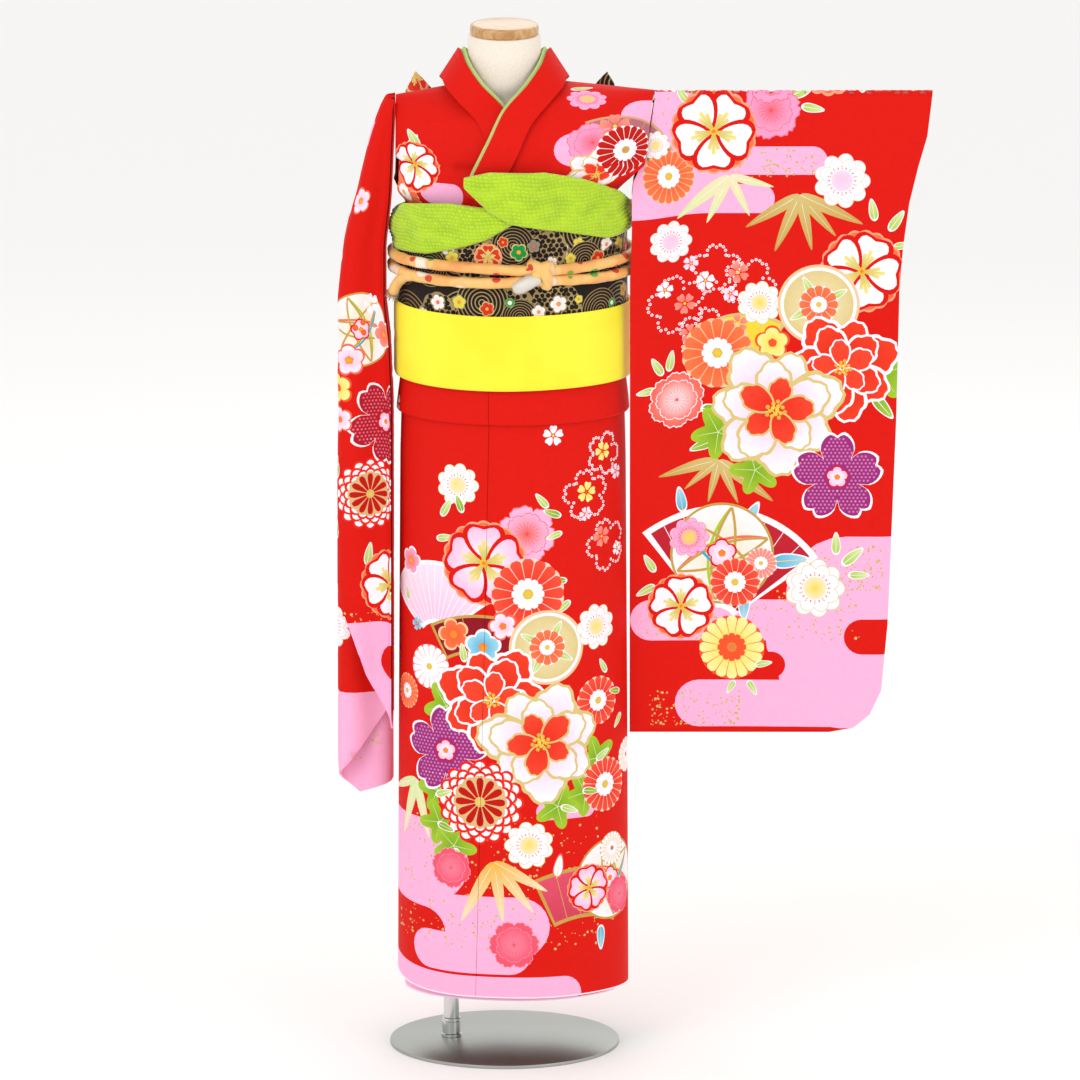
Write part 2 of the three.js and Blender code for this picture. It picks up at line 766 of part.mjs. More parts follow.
function foldedSurface(inset, side) {
  const cache = new Map();
  return (t, v) => {
    const low = read(FOLD_BOTTOM, t) + inset;
    const z = clamp(mix(low, 1096 - inset, v), low, 1096 - inset);
    const key = Math.round(z * 10);
    if (!cache.has(key)) cache.set(key, meanderAt(z));
    const line = cache.get(key);
    const at = clamp(t, 0, 1) * MEANDER_STEPS;
    const i = Math.min(MEANDER_STEPS - 1, Math.floor(at));
    const [x0, y0] = line[i];
    const [x1, y1] = line[i + 1];
    const dx = x1 - x0;
    const dy = y1 - y0;
    const size = Math.hypot(dx, dy);
    const over = t < 0 ? -3 : t > 1 ? 3 : 0;
    const endRound = Math.min(1, v * 60, (1 - v) * 60);
    const half = Math.max(0.25, (FOLDED_WALL + 1.1) * (0.45 + 0.55 * endRound) - inset);
    const baseY = -read(RUN_DEPTH, z) / 2 + 4;
    return vec(
      read(FOLD_INNER, z) + mix(x0, x1, at - i) + (side * half * dy) / size + (over * dx) / size,
      baseY + mix(y0, y1, at - i) - (side * half * dx) / size + (over * dy) / size,
      z,
    );
  };
}
const foldRows = [0, 0.008, 0.2, 0.4, 0.6, 0.78, 0.9, 0.985, 1];
const foldColumns = range(0, 1, 19);
const innerColumns = [-0.02, ...range(0.025, 0.975, 16)];
add(
  "sleeve_right",
  cut(
    lens(foldColumns, foldRows, foldedSurface(0, 1), foldedSurface(0, -1)),
    lens(innerColumns, foldRows, foldedSurface(FOLDED_WALL, 1), foldedSurface(FOLDED_WALL, -1)),
  ),
  PRINT,
  0.6,
);

// Sash wrap: a stiff brocade band with one lap at the back.
const sashPlace = (offset) => (u, z) => bodyPoint(u, clamp(z, 800, 985), offset).setZ(z);
add(
  "obi_wrap",
  cloth(range(-Math.PI, Math.PI - Math.PI / 18, 35), range(OBI_BOTTOM, OBI_TOP, 2), sashPlace(OBI_OFFSET), SASH, true),
  BROCADE,
  0.7,
);

// Padded cord: two strands round the sash, a knot in front and a tufted free end.
const strand = (z) =>
  Array.from({ length: 36 }, (_, i) => {
    const phi = (2 * Math.PI * i) / 36;
    const close = Math.exp(-Math.pow((phi - 1.33) / 0.35, 2));
    return bodyPoint(phi, z, OBI_OFFSET + SASH / 2 + CORD_RADIUS + SEAM_GAP).setZ(mix(z, 911, 0.2 * close));
  });
const knotAt = bodyPoint(1.33, 911, OBI_OFFSET + SASH / 2 + CORD_RADIUS + 4.2);
const tailStart = bodyPoint(2.6, 904, OBI_OFFSET + SASH / 2 + CORD_RADIUS + 1);
const tail = cord(
  [
    tailStart,
    bodyPoint(2.75, 896, OBI_OFFSET + SASH / 2 + CORD_RADIUS + 2),
    bodyPoint(2.85, 882, OBI_OFFSET + SASH / 2 + CORD_RADIUS + 3),
    bodyPoint(2.9, 868, OBI_OFFSET + SASH / 2 + CORD_RADIUS + 3),
  ],
  CORD_RADIUS,
  6,
  false,
  3,
);
add(
  "obijime",
  join(
    cord(strand(919), CORD_RADIUS, 40, true, 3),
    cord(strand(903), CORD_RADIUS, 40, true, 3),
    ball(knotAt.x, knotAt.y, knotAt.z, 12, 9, 14),
    ball(knotAt.x - 17, knotAt.y - 1, knotAt.z - 4, 14, 6.5, 9),
    tail,
  ),
  CORD_COLOR,
  0.5,
);

// Bustle cloth: two soft ends that cross in front above the sash.
const OVER_TOP = [
  [-0.6, 972],
  [0.12, 978],
  [0.4, 996],
  [0.9, 1018],
  [1.3, 1030],
  [1.75, 1031],
  [1.95, 1024],
];
const OVER_BOTTOM = [
  [0.12, 948],
  [0.6, 946],
  [1.2, 962],
  [1.6, 972],
  [1.75, 985],
  [1.95, 1012],
];
const UNDER_TOP = [
  [1.5, 985],
  [2.1, 992],
  [2.6, 985],
  [3.0, 967],
];
const UNDER_BOTTOM = [
  [1.5, 950],
  [1.9, 945],
  [2.4, 930],
  [3.0, 925],
];
function bustle(top, bottom, from, to, lift) {
  return cloth(
    range(from, to, 16),
    range(0, 1, 4),
    (phi, v) => {
      const z = mix(read(bottom, phi), read(top, phi), v);
      const bulge = 3 * Math.sin(Math.PI * v);
      const offset = OBI_OFFSET + 5.4 + lift * smooth(phi, 1.05, 1.45);
      return bodyPoint(phi, Math.min(z, 985), offset + bulge).setZ(z);
    },
    4,
  );
}
add("obiage_over", bustle(OVER_TOP, OVER_BOTTOM, -1.56, 1.95, 7.8), LIME, 0.7);
add("obiage_under", bustle(UNDER_TOP, UNDER_BOTTOM, 1.5, 4.7, 0), LIME, 0.7);

// Bow at the back: two pleated loops, the knot between them and the hanging drum.
const BOW_X = 8;
const WING_WALL = 2.4;
const WING_ROOT = 22.2;
function wingSurface(sign, inset, side) {
  return (u, v) => {
    const low = [mix(WING_ROOT, 120, u), mix(966, 930, u)];
    const high = [mix(WING_ROOT, 108, u), mix(1004, 1100, u)];
    const out = mix(low[0], high[0], v) + 15 * Math.sin(Math.PI * clamp(v, 0, 1)) * u * u;
    const pleat = 2.6 * Math.cos(5 * Math.PI * v) * (1 - u) * Math.min(1, 6 * u);
    const deep = Math.max(0.3, mix(3.4, 8, Math.sin(Math.PI * Math.min(1, u * 0.8))) - inset);
    const end = u > 0.97 && !inset ? 0.5 : 1;
    return vec(BOW_X + sign * out, 116.5 + pleat + side * deep * end, mix(low[1], high[1], v));
  };
}
function wing(sign) {
  return cut(
    lens(range(0, 1, 6), range(0, 1, 10), wingSurface(sign, 0, 1), wingSurface(sign, 0, -1)),
    lens(
      range(-0.03, 0.965, 6),
      range(-0.1, 1.1, 12),
      wingSurface(sign, WING_WALL, 1),
      wingSurface(sign, WING_WALL, -1),
    ),
  );
}
add("bow_loop_left", wing(1), BROCADE, 0.7);
add("bow_loop_right", wing(-1), BROCADE, 0.7);

const KNOT_DEPTH = 29;
const KNOT_Y = 130.6;
const knot = new THREE.SphereGeometry(1, 14, 10);
const knotAtPoints = knot.attributes.position;
for (let i = 0; i < knotAtPoints.count; i++) {
  const square = (value, half) => half * Math.sign(value) * Math.pow(Math.abs(value), 0.55);
  knotAtPoints.setXYZ(
    i,
    BOW_X + square(knotAtPoints.getX(i), 22),
    KNOT_Y + square(knotAtPoints.getY(i), KNOT_DEPTH),
    986 + square(knotAtPoints.getZ(i), 28),
  );
}
add("bow_knot", knot, BROCADE, 0.7);

function roundedLoop(inset) {
  const shape = new THREE.Shape();
  const [y0, y1, z0, z1] = [128 + inset, 158 - inset, 800 + inset, 958.4 - inset];
  const r = 13 - inset;
  shape.moveTo(y0 + r, z0);
  shape.lineTo(y1 - r, z0);
  shape.quadraticCurveTo(y1, z0, y1, z0 + r);
  shape.lineTo(y1, z1 - r);
  shape.quadraticCurveTo(y1, z1, y1 - r, z1);
  shape.lineTo(y0 + r, z1);
  shape.quadraticCurveTo(y0, z1, y0, z1 - r);
  shape.lineTo(y0, z0 + r);
  shape.quadraticCurveTo(y0, z0, y0 + r, z0);
  return shape;
}
const DRUM_WIDTH = 150;
const drumShape = roundedLoop(0);
drumShape.holes.push(roundedLoop(SASH));
const drum = new THREE.ExtrudeGeometry(drumShape, {
  depth: DRUM_WIDTH,
  bevelEnabled: false,
  curveSegments: 5,
});
drum.applyMatrix4(
  new THREE.Matrix4().makeBasis(vec(0, 1, 0), vec(0, 0, 1), vec(1, 0, 0)),
);
drum.translate(BOW_X - DRUM_WIDTH / 2, 0, 0);
add("bow_drum", drum, BROCADE, 0.7);

// Soft under-sash over the lower edge of the brocade.
add(
  "shigoki_wrap",
  cloth(
    range(-Math.PI, Math.PI - Math.PI / 18, 35),
    [779, 786, 857, 864],
    (u, z) => bodyPoint(u, 800, OBI_OFFSET + 3 + (z > 783 && z < 860 ? 1.5 : 0)).setZ(z),
    2.4,
    true,
  ),
  YELLOW,
  0.6,
);

// Its knot at the back with two hanging tails.
function sashTail(sign) {
  return cloth(
    range(-1, 1, 6),
    range(0, 1, 8),
    (u, v) => {
      const half = mix(9, 30, smooth(v, 0, 0.35));
      const fold = 2.6 * Math.cos(3 * Math.PI * u) * smooth(v, 0, 0.3);
      const back = mix(110.5, 104.5, smooth(v, 0, 0.4));
      return vec(BOW_X + sign * mix(10, 37, smooth(v, 0, 0.4)) + u * half, back + fold, mix(818, 505 - sign * 12, v));
    },
    2,
  );
}
add(
  "shigoki_knot",
  join(ball(BOW_X, 109.95, 824, 24, 9, 19, 10), sashTail(1), sashTail(-1)),
  YELLOW,
  0.6,
);

export default group;
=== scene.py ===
import math
import random

import bpy
import numpy as np
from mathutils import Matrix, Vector, noise
from mathutils.geometry import delaunay_2d_cdt


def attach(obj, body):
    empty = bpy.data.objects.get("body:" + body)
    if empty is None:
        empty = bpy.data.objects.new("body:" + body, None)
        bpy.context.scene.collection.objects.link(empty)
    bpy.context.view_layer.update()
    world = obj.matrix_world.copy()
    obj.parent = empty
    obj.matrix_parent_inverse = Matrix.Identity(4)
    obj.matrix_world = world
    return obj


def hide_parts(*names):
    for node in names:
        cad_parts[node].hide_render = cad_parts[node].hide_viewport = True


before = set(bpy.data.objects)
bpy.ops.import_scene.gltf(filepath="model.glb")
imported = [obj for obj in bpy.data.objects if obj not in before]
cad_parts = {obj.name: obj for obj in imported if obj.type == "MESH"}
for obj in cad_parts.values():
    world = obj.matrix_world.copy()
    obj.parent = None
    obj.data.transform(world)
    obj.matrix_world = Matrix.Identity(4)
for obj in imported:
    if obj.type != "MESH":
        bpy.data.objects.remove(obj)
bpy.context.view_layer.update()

# Camera, light and floor.
# A long lens from thirteen degrees above, as a catalogue picture of a dress form is taken.
# The floor is plain pale paper and the light comes from wide soft boxes.
MM = 0.001
VIEW_HEIGHT_DEG = 13.0
PIXEL_MM = 1.13
PHOTO_SIDE = 1080
AXIS_PX = (504.5, 1043.5)
VIEW_COS = math.cos(math.radians(VIEW_HEIGHT_DEG))
VIEW_SIN = math.sin(math.radians(VIEW_HEIGHT_DEG))
LENS_MM = 800
SENSOR_MM = 36

aim_x = (PHOTO_SIDE / 2 - AXIS_PX[0]) * PIXEL_MM * MM
aim_up = (AXIS_PX[1] - PHOTO_SIDE / 2) * PIXEL_MM * MM
camera_away = PHOTO_SIDE * PIXEL_MM * MM * LENS_MM / SENSOR_MM
camera = bpy.data.objects.new("camera", bpy.data.cameras.new("camera"))
camera.data.lens = LENS_MM
camera.data.sensor_width = SENSOR_MM
camera.data.clip_end = 100
camera.location = (aim_x, -camera_away * VIEW_COS, aim_up / VIEW_COS + camera_away * VIEW_SIN)
camera.rotation_euler = (math.radians(90 - VIEW_HEIGHT_DEG), 0, 0)
bpy.context.scene.collection.objects.link(camera)
bpy.context.scene.camera = camera

world = bpy.data.worlds.new("studio")
bpy.context.scene.world = world
world.use_nodes = True
world.node_tree.nodes["Background"].inputs["Color"].default_value = (1, 1, 1, 1)
world.node_tree.nodes["Background"].inputs["Strength"].default_value = 0.98
bpy.context.scene.view_settings.view_transform = "Standard"


def soft_box(name, place, size, watts):
    """A square area lamp turned to the middle of the dress; its place and size in metres."""
    lamp = bpy.data.objects.new(name, bpy.data.lights.new(name, "AREA"))
    lamp.data.energy = watts
    lamp.data.size = size
    lamp.location = place
    lamp.rotation_euler = (Vector((0.1, 0, 0.6)) - Vector(place)).to_track_quat("-Z", "Y").to_euler()
    bpy.context.scene.collection.objects.link(lamp)


soft_box("key_box", (-1.6, -2.6, 2.6), 1.6, 24)
soft_box("fill_box", (2.4, -2.2, 1.6), 1.8, 12)
soft_box("back_box", (0.4, 2.6, 2.4), 1.8, 14)


def linear(hex_color):
    """An sRGB hex colour as linear red, green, blue and full alpha."""
    parts = [int(hex_color[i : i + 2], 16) / 255 for i in (1, 3, 5)]
    return tuple(c / 12.92 if c <= 0.04045 else ((c + 0.055) / 1.055) ** 2.4 for c in parts) + (1.0,)


def node(material, kind, inputs=(), links=(), **settings):
    """Adds a node with its settings, its plain input values and its links from other outputs."""
    tree = material if isinstance(material, bpy.types.NodeTree) else material.node_tree
    made = tree.nodes.new(kind)
    for key, value in settings.items():
        setattr(made, key, value)
    for key, value in dict(inputs).items():
        made.inputs[key].default_value = value
    for key, output in dict(links).items():
        tree.links.new(output, made.inputs[key])
    return made


def new_material(name, **values):
    """A material and its main shader, with the given values set."""
    material = bpy.data.materials.new(name)
    material.use_nodes = True
    shader = material.node_tree.nodes["Principled BSDF"]
    for key, value in values.items():
        shader.inputs[key.replace("_", " ").title().replace("Ior", "IOR")].default_value = value
    return material, shader


def join_socket(material, output, shader, socket):
    """Lets an output drive one of the shader's inputs."""
    material.node_tree.links.new(output, shader.inputs[socket])


def noise_on(material, scale, detail, coordinates="Object"):
    """A noise in the piece's own space, or on its flat cloth with "UV"."""
    where = node(material, "ShaderNodeTexCoord")
    values = {"Scale": scale, "Detail": detail}
    return node(
        material, "ShaderNodeTexNoise", values, {"Vector": where.outputs[coordinates]},
    ).outputs["Fac"]


def ranged(material, source, low, high):
    """A value from 0 to 1 brought between two others."""
    values = {"To Min": low, "To Max": high}
    return node(material, "ShaderNodeMapRange", values, {"Value": source}).outputs["Result"]


def ramp(material, source, low, high):
    """A colour ramp between two stops, each a position and a hex colour."""
    made = node(material, "ShaderNodeValToRGB", links={"Fac": source})
    for stop, (position, color) in zip(made.color_ramp.elements, (low, high)):
        stop.color, stop.position = linear(color), position
    return made


def bumped(material, shader, height, strength, distance):
    """Lets a height show in the shader's normal, distance in metres."""
    bump = node(material, "ShaderNodeBump", {"Strength": strength, "Distance": distance}, {"Height": height})
    join_socket(material, bump.outputs["Normal"], shader, "Normal")


def around(count, start=0.0):
    """The evenly spaced angles of a full turn."""
    return [start + 2 * math.pi * k / count for k in range(count)]


floor_mesh = bpy.data.meshes.new("floor")
FLOOR_HALF = 30
floor_mesh.from_pydata(
    [
        (-FLOOR_HALF, -FLOOR_HALF, 0), (FLOOR_HALF, -FLOOR_HALF, 0), (FLOOR_HALF, FLOOR_HALF, 0),
        (-FLOOR_HALF, FLOOR_HALF, 0),
    ],
    [], [(0, 1, 2, 3)],
)
floor = bpy.data.objects.new("floor", floor_mesh)
bpy.context.scene.collection.objects.link(floor)
paper, _ = new_material("pale_paper", base_color=linear("#F7F6F4"), roughness=0.9)
floor_mesh.materials.append(paper)

# Stand: satin steel plate, chromed pole with a turned collar, varnished wooden neck cap.
# The plate is cut from sheet, the pole is drawn tube, and the cap is turned and screwed on the neck.
STAND_SIDES = 96
PLATE_RADIUS = 130
PLATE_HEIGHT = 4
POLE_RADIUS = 8.75
POLE_X, POLE_Y = -60.5, 10
POLE_TOP = 655
JOINT_GAP = 0.3
FOOT_HEIGHT = 22


def add_piece(name, points_mm, faces, materials, smooth=True):
    """A mesh from points in millimetres, in the part's own frame."""
    mesh = bpy.data.meshes.new(name)
    mesh.from_pydata([tuple(c * MM for c in p) for p in points_mm], [], faces)
    for material in materials:
        mesh.materials.append(material)
    mesh.polygons.foreach_set("use_smooth", [smooth] * len(mesh.polygons))
    mesh.update()
    piece = bpy.data.objects.new(name, mesh)
    bpy.context.scene.collection.objects.link(piece)
    return piece


def ring_faces(rings, sides, closed, capped=True):
    """Quads between rings of points; the last ring joins the first, or both ends can be capped."""
    faces = []
    for j in range(rings if closed else rings - 1):
        a, b = j * sides, (j + 1) % rings * sides
        for i in range(sides):
            k = (i + 1) % sides
            faces.append((a + i, a + k, b + k, b + i))
    if capped and not closed:
        faces += [tuple(reversed(range(sides))), tuple(range((rings - 1) * sides, rings * sides))]
    return faces


def turned(name, profile, x, y, material, sharp_deg=35):
    """A closed turned piece: rows of radius and height from the axis or round a ring."""
    points = []
    for radius, z in profile:
        points += [
            (x + radius * math.cos(turn), y + radius * math.sin(turn), z) for turn in around(STAND_SIDES)
        ]
    faces = ring_faces(len(profile), STAND_SIDES, profile[0][0] != 0, False)
    piece = add_piece(name, points, faces, [material])
    finish_shell(piece)
    piece.data.set_sharp_from_angle(angle=math.radians(sharp_deg))
    return piece


def finish_shell(piece):
    """Merges doubled points, drops flat faces and turns every face outwards."""
    import bmesh

    shell = bmesh.new()
    shell.from_mesh(piece.data)
    bmesh.ops.remove_doubles(shell, verts=shell.verts, dist=1e-6)
    bmesh.ops.dissolve_degenerate(shell, edges=shell.edges, dist=1e-7)
    bmesh.ops.recalc_face_normals(shell, faces=shell.faces)
    shell.to_mesh(piece.data)
    shell.free()


# Mild steel plate with a fine circular grain from its satin finish.
satin_steel, shader = new_material("satin_steel", base_color=linear("#A9ABA5"), metallic=1.0, roughness=0.38)
grain = noise_on(satin_steel, 900.0, 3.0)
join_socket(satin_steel, ranged(satin_steel, grain, 0.32, 0.46), shader, "Roughness")
bumped(satin_steel, shader, grain, 0.12, 0.0002)

plate = turned(
    "plate",
    [(0, 0), (PLATE_RADIUS - 0.5, 0), (PLATE_RADIUS, 0.5), (PLATE_RADIUS, PLATE_HEIGHT - 1),
     (PLATE_RADIUS - 0.3, PLATE_HEIGHT - 0.3), (PLATE_RADIUS - 1, PLATE_HEIGHT), (0, PLATE_HEIGHT)],
    0,
    0,
    satin_steel,
)
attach(plate, "root")
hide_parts("base_plate")

# Bright chrome plating, with the faint unevenness of polished tube.
chrome, shader = new_material("chrome_plating", base_color=linear("#D3D5D4"), metallic=1.0, roughness=0.12)
haze = noise_on(chrome, 60.0, 4.0)
join_socket(chrome, ranged(chrome, haze, 0.08, 0.18), shader, "Roughness")

foot_z = PLATE_HEIGHT + JOINT_GAP
tube = turned(
    "tube", [(0, foot_z), (POLE_RADIUS, foot_z), (POLE_RADIUS, POLE_TOP), (0, POLE_TOP)], POLE_X, POLE_Y,
    chrome,
)
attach(tube, "root")
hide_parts("pole")

ring_out = POLE_RADIUS + 1.6
foot_ring = turned(
    "foot_ring",
    [
        (POLE_RADIUS + JOINT_GAP, foot_z), (POLE_RADIUS + 2.6, foot_z), (POLE_RADIUS + 2.6, foot_z + 3),
        (ring_out, foot_z + 3.6), (ring_out, foot_z + FOOT_HEIGHT - 4.6),
        (ring_out - 0.6, foot_z + FOOT_HEIGHT - 4), (ring_out - 0.6, foot_z + FOOT_HEIGHT - 3.4),
        (ring_out, foot_z + FOOT_HEIGHT - 2.8), (ring_out, foot_z + FOOT_HEIGHT - 0.5),
        (ring_out - 0.5, foot_z + FOOT_HEIGHT), (POLE_RADIUS + JOINT_GAP, foot_z + FOOT_HEIGHT),
    ],
    POLE_X, POLE_Y, chrome,
)
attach(foot_ring, "root")
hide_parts("pole_collar")

# Beech turned across the end grain and varnished: pale brown with slow growth rings.
beech, shader = new_material(
    "varnished_beech", base_color=linear("#C08A48"), roughness=0.36, coat_weight=0.35, coat_roughness=0.15
)
where = node(beech, "ShaderNodeTexCoord")
stretch = node(
    beech, "ShaderNodeMapping", {"Scale": (1.0, 6.0, 1.0), "Location": (0.11, 0.02, 0.0)},
    {"Vector": where.outputs["Object"]},
)
rings = node(
    beech, "ShaderNodeTexNoise", {"Scale": 38.0, "Detail": 6.0, "Distortion": 1.2},
    {"Vector": stretch.outputs["Vector"]},
)
tone = ramp(beech, rings.outputs["Fac"], (0.35, "#A87238"), (0.68, "#D9AE72"))
join_socket(beech, tone.outputs["Color"], shader, "Base Color")

NECK_RADIUS = 41
CAP_FOOT = 1168 + JOINT_GAP
cap = turned(
    "cap",
    [
        (0, CAP_FOOT), (NECK_RADIUS - 3.5, CAP_FOOT), (NECK_RADIUS - 2.5, CAP_FOOT + 1.5),
        (NECK_RADIUS - 2.3, CAP_FOOT + 5), (NECK_RADIUS - 2.5, CAP_FOOT + 8.5),
        (NECK_RADIUS - 3.2, CAP_FOOT + 10.4), (NECK_RADIUS - 4.7, CAP_FOOT + 11.3),
        (NECK_RADIUS - 9, CAP_FOOT + 11.8), (0, CAP_FOOT + 11.8),
    ],
    0, 0, beech,
)
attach(cap, "root")
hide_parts("neck_cap")

# Dress form: a moulded limbless torso under a skin of plain unbleached linen.
# Its linen is sewn down the middle of front and back; the neck skin is folded in at the top.
FORM_RINGS = [
    # height, half-width, half-depth, middle
    (612, 70, 46, 8),
    (618, 96, 62, 8),
    (640, 108, 70, 8),
    (700, 110, 71, 9),
    (780, 103, 68, 9),
    (860, 97, 66, 9),
    (930, 99, 68, 8),
    (990, 102, 69, 7),
    (1030, 104, 64, 5),
    (1060, 103, 56, 3),
    (1078, 94, 46, 1),
    (1088, 82, 39, 0),
    (1096, 70, 36, 0),
    (1102.5, 57, 36, 0),
    (1107, 47, 38, 0),
    (1118, 42.5, 41, 0),
    (1140, 41, 41, 0),
    (1166, 41, 41, 0),
    (1168, 39, 39, 0),
]
FORM_SIDES = 96
form_points = []
for z, a, b, x in FORM_RINGS:
    form_points += [(x + a * math.cos(turn), b * math.sin(turn), z) for turn in around(FORM_SIDES)]
form_faces = ring_faces(len(FORM_RINGS), FORM_SIDES, False)


# Scale of the wave texture for threads a millimetre apart: a crest for every second one.
THREAD_WAVES = 160


def woven(material, shader, thread_mm, strength, coordinates="Object"):
    """Warp and weft as two crossed waves, in real thread spacing, with a little slub."""
    where = node(material, "ShaderNodeTexCoord")
    waves = [
        node(
            material, "ShaderNodeTexWave",
            {"Scale": THREAD_WAVES / thread_mm, "Distortion": 1.5, "Detail": 1.0},
            {"Vector": where.outputs[coordinates]}, bands_direction=direction,
        ) for direction in ("X", "Z" if coordinates == "Object" else "Y")
    ]
    both = node(
        material, "ShaderNodeMath", links={0: waves[0].outputs["Fac"], 1: waves[1].outputs["Fac"]},
        operation="ADD",
    )
    bumped(material, shader, both.outputs["Value"], strength, thread_mm * 0.3 * MM)


linen, shader = new_material("plain_linen", base_color=linear("#EBDFCD"), roughness=0.9, sheen_weight=0.2)
woven(linen, shader, 0.9, 0.2)
slub = noise_on(linen, 420.0, 3.0)
tone = ramp(linen, slub, (0.3, "#E7DCCB"), (0.72, "#F0E6D7"))
join_socket(linen, tone.outputs["Color"], shader, "Base Color")
torso = add_piece("torso", form_points, form_faces, [linen])
torso.data.set_sharp_from_angle(angle=math.radians(50))
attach(torso, "root")
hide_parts("form_body")

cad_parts["sleeve_rod"].data.materials.clear()
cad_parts["sleeve_rod"].data.materials.append(chrome)

# Printed crepe of the kimono: silk-like cloth dyed red and pink with flowers, leaves and fans.
# Each panel is one cut of cloth; its flat shape is divided along the printed outlines, so
# every outline stays sharp, and the colours are kept at the corners of its faces.
BODY_X = 9.6
HEM_Z = 73
CORNER_RISE = 16
UNDER_DROP = 5
TUCK_BOTTOM = 738
TUCK_TOP = 806
TUCK_BEND = 1.35
CHEST_Z = 1030
RIDGE_Z = 1118
NECK_EDGE_X = 61
SHOULDER_FLARE = 0.065
INNER_LAYER = -8.4
LEFT_CHEST = 4.7
RIGHT_CHEST = -4.8
CLOTH = 1.6
HALF_WIDTH = [(66, 130), (400, 128.5), (690, 126.5), (745, 125), (800, 118.5), (985, 117), (1030, 121)]
HALF_DEPTH = [(66, 92), (400, 91), (745, 89), (800, 85), (985, 84), (1030, 84)]
SEAM_LINE = [(66, -33), (500, -22), (740, -17), (960, -17), (985, -37), (1030, -16)]
OUTER_EDGE = [(66, 3.1), (740, 3.1), (860, 3.02), (985, 2.3)]


def read(table, at):
    """Straight reading of a table of position and value."""
    i = 1
    while i < len(table) - 1 and table[i][0] < at:
        i += 1
    (a, p), (b, q) = table[i - 1], table[i]
    return p + (q - p) * min(1, max(0, (at - a) / (b - a)))


def mix(a, b, t):
    """The value a part t of the way from a to b."""
    return a + (b - a) * t


def smooth(value, low, high):
    """A soft step from 0 at low to 1 at high."""
    t = min(1, max(0, (value - low) / (high - low)))
    return t * t * (3 - 2 * t)


def body_width(z, left):
    """Half-width of the body's cloth on one side at a height."""
    return mix(
        read(HALF_WIDTH, z), 161 if left else 141, smooth(z, 985, CHEST_Z) if left else smooth(z, 966, 998),
    )


def body_power(z):
    """How square the body's outline is at a height: 2 is an ellipse."""
    return mix(2, 1.7, smooth(z, 985, CHEST_Z))


def folds(phi, z):
    """Soft vertical folds of the lower body, the same for every layer."""
    grow = smooth(-z, -700, -80)
    front = max(0, math.sin(phi))
    back = max(0, -math.sin(phi))
    return grow * (1.6 * front * math.cos(5 * phi) + 5 * back * back * math.cos(11 * phi))


def body_point(phi, z, offset):
    """A point on the body; phi runs from the left side over the front to the right side."""
    low = min(z, CHEST_Z)
    a = body_width(low, math.cos(phi) > 0)
    b = read(HALF_DEPTH, low)
    n = body_power(low)
    c = abs(math.cos(phi))
    s = max(0, 1 - c**n) ** (1 / n)
    front = -1 if math.sin(phi) >= 0 else 1
    nx = math.copysign(c ** (n - 1), math.cos(phi)) / a
    ny = front * s ** (n - 1) / b
    length = math.hypot(nx, ny) or 1
    d = offset + folds(phi, z)
    return (BODY_X + a * math.cos(phi) + d * nx / length, front * b * s + d * ny / length, z)


def ridge_height(x):
    """Height of the shoulder seam, which falls away from the neck."""
    return RIDGE_Z - (0.09 if x > 0 else 0.165) * abs(x)


def shoulder_point(phi, turn, offset):
    """A point on the shoulder, turned back over its seam."""
    x, y, _ = body_point(phi, CHEST_Z, 0)
    angle = turn * math.pi / 2
    facing = -1 if math.sin(phi) >= 0 else 1
    if x > BODY_X:
        x = BODY_X + (x - BODY_X) * (1 + SHOULDER_FLARE * turn)
    return (
        x, (y + facing * offset) * math.cos(angle),
        mix(CHEST_Z, ridge_height(x), math.sin(angle)) + offset * math.sin(angle),
    )


def angle_at(x, z):
    """The angle round the body of a point seen from the front."""
    a = body_width(min(z, CHEST_Z), x > BODY_X)
    return math.acos(min(1, max(-1, (x - BODY_X) / a)))


# Length round the body from the left side, as the cloth lies flat.
ROUND_STEPS = 400
round_lengths = [0.0]
for i in range(ROUND_STEPS):
    middle = math.pi * (i + 0.5) / ROUND_STEPS
    step = math.hypot(127 * math.sin(middle), 90 * math.cos(middle)) * math.pi / ROUND_STEPS
    round_lengths.append(round_lengths[-1] + step)
ROUND_HALF = round_lengths[-1]


def round_from_angle(phi):
    """Length round the body at an angle."""
    return float(np.interp(phi, np.linspace(0, math.pi, ROUND_STEPS + 1), round_lengths))


def angle_from_round(s):
    """The angle at a length round the body."""
    return float(np.interp(s, round_lengths, np.linspace(0, math.pi, ROUND_STEPS + 1)))


# The cloth's way from the front hem through the waist tuck to the shoulder ridge:
# height, layer offset, shoulder turn. The way down the back is the same in mirror image.
WAY = (
    [(z, 0, 0) for z in np.linspace(HEM_Z, 738, 12)] + [
        (775, 0, 0), (TUCK_TOP - TUCK_BEND, 0, 0), (TUCK_TOP - 0.4, 0.4 * TUCK_BEND, 0),
        (TUCK_TOP, TUCK_BEND, 0), (TUCK_TOP - 0.4, 1.6 * TUCK_BEND, 0),
        (TUCK_TOP - TUCK_BEND, 2 * TUCK_BEND, 0), (775, 2 * TUCK_BEND, 0),
        (TUCK_BOTTOM + TUCK_BEND, 2 * TUCK_BEND, 0), (TUCK_BOTTOM + 0.4, 2.4 * TUCK_BEND, 0),
        (TUCK_BOTTOM, 3 * TUCK_BEND, 0), (TUCK_BOTTOM + 0.4, 3.6 * TUCK_BEND, 0),
        (TUCK_BOTTOM + TUCK_BEND, 4 * TUCK_BEND, 0), (770, 4 * TUCK_BEND, 0), (800, 4 * TUCK_BEND, 0),
        (830, 3, 0), (870, 1, 0), (930, 0, 0), (985, 0, 0), (1005, 0, 0), (CHEST_Z, 0, 0),
    ] + [(CHEST_Z, 0, turn) for turn in (0.14, 0.28, 0.43, 0.57, 0.72, 0.86, 1.0)]
)
